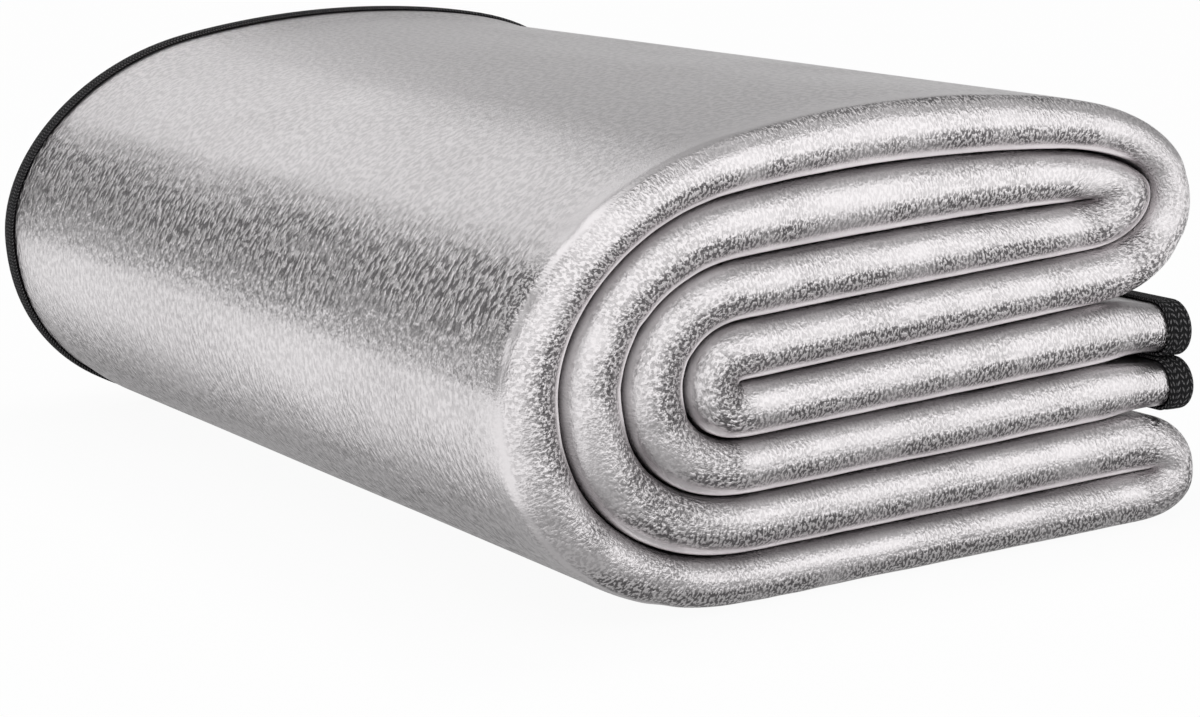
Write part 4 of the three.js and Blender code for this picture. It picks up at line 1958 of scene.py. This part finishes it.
@dataclass(frozen=True)
class SoftBox:
    """A square or oblong soft lamp that faces the mat.

    Attributes:
        name: The lamp's name.
        toward: Direction of the lamp from the mat's middle.
        distance: How far off it is, in metres.
        width: Its width, in metres.
        height: Its height, in metres.
        level: Brightness of its face, 1 being white.
    """

    name: str
    toward: tuple[float, float, float]
    distance: float
    width: float
    height: float
    level: float

    def build(self, target: Vector) -> None:
        """Places the lamp. Its power is pi times its area times the brightness of its face.

        Args:
            target: The point that it faces.
        """
        data = bpy.data.lights.new(self.name, "AREA")
        data.shape = "RECTANGLE"
        data.size = self.width
        data.size_y = self.height
        data.energy = np.pi * self.width * self.height * self.level
        lamp = bpy.data.objects.new(self.name, data)
        direction = Vector(self.toward).normalized()
        lamp.location = target + direction * self.distance
        lamp.rotation_euler = direction.to_track_quat("Z", "Y").to_euler()
        lamp.visible_camera = False
        bpy.context.scene.collection.objects.link(lamp)


@dataclass
class Studio:
    """Floor, soft lamps, world and camera.

    Attributes:
        floor_size: Side of the floor, in metres.
        floor_drop: How far the floor lies below the mat's nominal under side, in metres.
        world_level: Brightness of the room all round.
        lamp_target: Height of the point that the lamps face, in metres.
        lens: The camera's focal length, in mm.
        sensor: Width of the camera's sensor, in mm.
        camera_at: The camera's place.
        camera_right: Direction of its own right.
        camera_up: Direction of its own top.
        lamps: The soft lamps.
    """

    floor_size: float = 60.0
    floor_drop: float = 0.0006
    world_level: float = 0.36
    lamp_target: float = 0.08
    lens: float = 105.0
    sensor: float = 36.0
    camera_at: tuple[float, float, float] = (-0.61357, -1.23751, 0.31298)
    camera_right: tuple[float, float, float] = (0.88103, -0.46862, -0.06460)
    camera_up: tuple[float, float, float] = (0.14712, 0.14163, 0.97892)
    lamps: tuple[SoftBox, ...] = (
        SoftBox("front lamp", (0.55, -0.78, 0.33), 2.5, 2.4, 2.1, 0.80),
        SoftBox("front left lamp", (-0.22, -0.90, 0.37), 2.35, 1.9, 2.3, 0.70),
        SoftBox("left lamp", (-0.85, -0.49, 0.22), 2.3, 2.0, 1.5, 0.66),
        SoftBox("overhead lamp", (0.52, -0.02, 0.86), 2.2, 1.0, 1.0, 0.48),
        SoftBox("upper left lamp", (-0.36, -0.05, 0.93), 2.3, 4.0, 1.7, 0.76),
        SoftBox("back lamp", (-0.015, 0.90, 0.45), 2.6, 1.56, 1.0, 0.60),
        SoftBox("right fill", (0.60, 0.78, 0.20), 3.0, 2.4, 1.2, 0.20),
    )

    def build(self, footprint: tuple[float, float]) -> None:
        """Makes the floor, the lamps, the world and the camera.

        Args:
            footprint: Half the mat's width and half its depth, in metres.
        """
        self._floor(footprint)
        for lamp in self.lamps:
            lamp.build(Vector((0.0, 0.0, self.lamp_target)))
        self._world()
        self._camera()
        bpy.context.scene.view_settings.view_transform = "Standard"

    def _floor(self, footprint: tuple[float, float]) -> None:
        """A large flat square just under the mat.

        Args:
            footprint: Half the mat's width and half its depth, in metres.
        """
        half, z = self.floor_size / 2.0, -self.floor_drop
        corners = [(-half, -half, z), (half, -half, z), (half, half, z), (-half, half, z)]
        mesh = bpy.data.meshes.new("floor")
        mesh.from_pydata(corners, [], [(0, 1, 2, 3)])
        floor = bpy.data.objects.new("floor", mesh)
        bpy.context.scene.collection.objects.link(floor)
        mesh.materials.append(FloorFinish().build(*footprint))
        floor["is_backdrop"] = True

    def _world(self) -> None:
        """Even grey light from all round."""
        world = bpy.data.worlds.new("studio")
        world.use_nodes = True
        background = world.node_tree.nodes["Background"]
        background.inputs["Color"].default_value = (*[self.world_level] * 3, 1.0)
        background.inputs["Strength"].default_value = 1.0
        bpy.context.scene.world = world

    def _camera(self) -> None:
        """The camera, turned by its own right, up and back directions."""
        data = bpy.data.cameras.new("camera")
        data.lens = self.lens
        data.sensor_width = self.sensor
        right, up = Vector(self.camera_right).normalized(), Vector(self.camera_up).normalized()
        back = right.cross(up).normalized()
        up = back.cross(right)
        camera = bpy.data.objects.new("camera", data)
        turn = Matrix((right, up, back)).transposed().to_4x4()
        camera.matrix_world = Matrix.Translation(Vector(self.camera_at)) @ turn
        bpy.context.scene.collection.objects.link(camera)
        bpy.context.scene.camera = camera


# ---- Putting it together ------------------------------------------------------------------------


def report(piece: bpy.types.Object, note: str) -> None:
    """Logs what was built."""
    LOG.info("%s: %s, %d faces", piece.name, note, len(piece.data.polygons))


def main() -> None:
    """Builds the mat, its tapes and the studio."""
    logging.basicConfig(level=logging.INFO, format="%(name)s %(message)s")
    packed_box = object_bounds()
    low, high = packed_box
    Studio().build(((high[0] - low[0]) / 2.0, (high[1] - low[1]) / 2.0))
    effects = Effects.build()
    fine, coarse = FoldedSection(spacing=2.2, ease=3), FoldedSection(spacing=4.0)

    mat = FoilMat(fine)
    sheet = mat.build()
    mat.dress(sheet, effects)
    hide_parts("foil_mat")
    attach(sheet, BODY)
    report(sheet, "the halved and folded foam sheet in its foil")

    tape_material = TapeFinish().build(effects)
    tapes: dict[str, LongTape | EndTape] = {
        "long_tape_outer": LongTape("long_binding_outer", Side.OUTER, coarse),
        "long_tape_inner": LongTape("long_binding_inner", Side.INNER, coarse),
        "end_tape_upper": EndTape("end_binding_upper", ROUTE[0], coarse),
        "end_tape_lower": EndTape("end_binding_lower", ROUTE[-1], coarse),
    }
    for node, tape in tapes.items():
        piece = tape.build()
        tape.dress(piece, tape_material)
        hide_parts(node)
        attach(piece, BODY)
        report(piece, "woven binding")


if __name__ == "__main__":
    main()
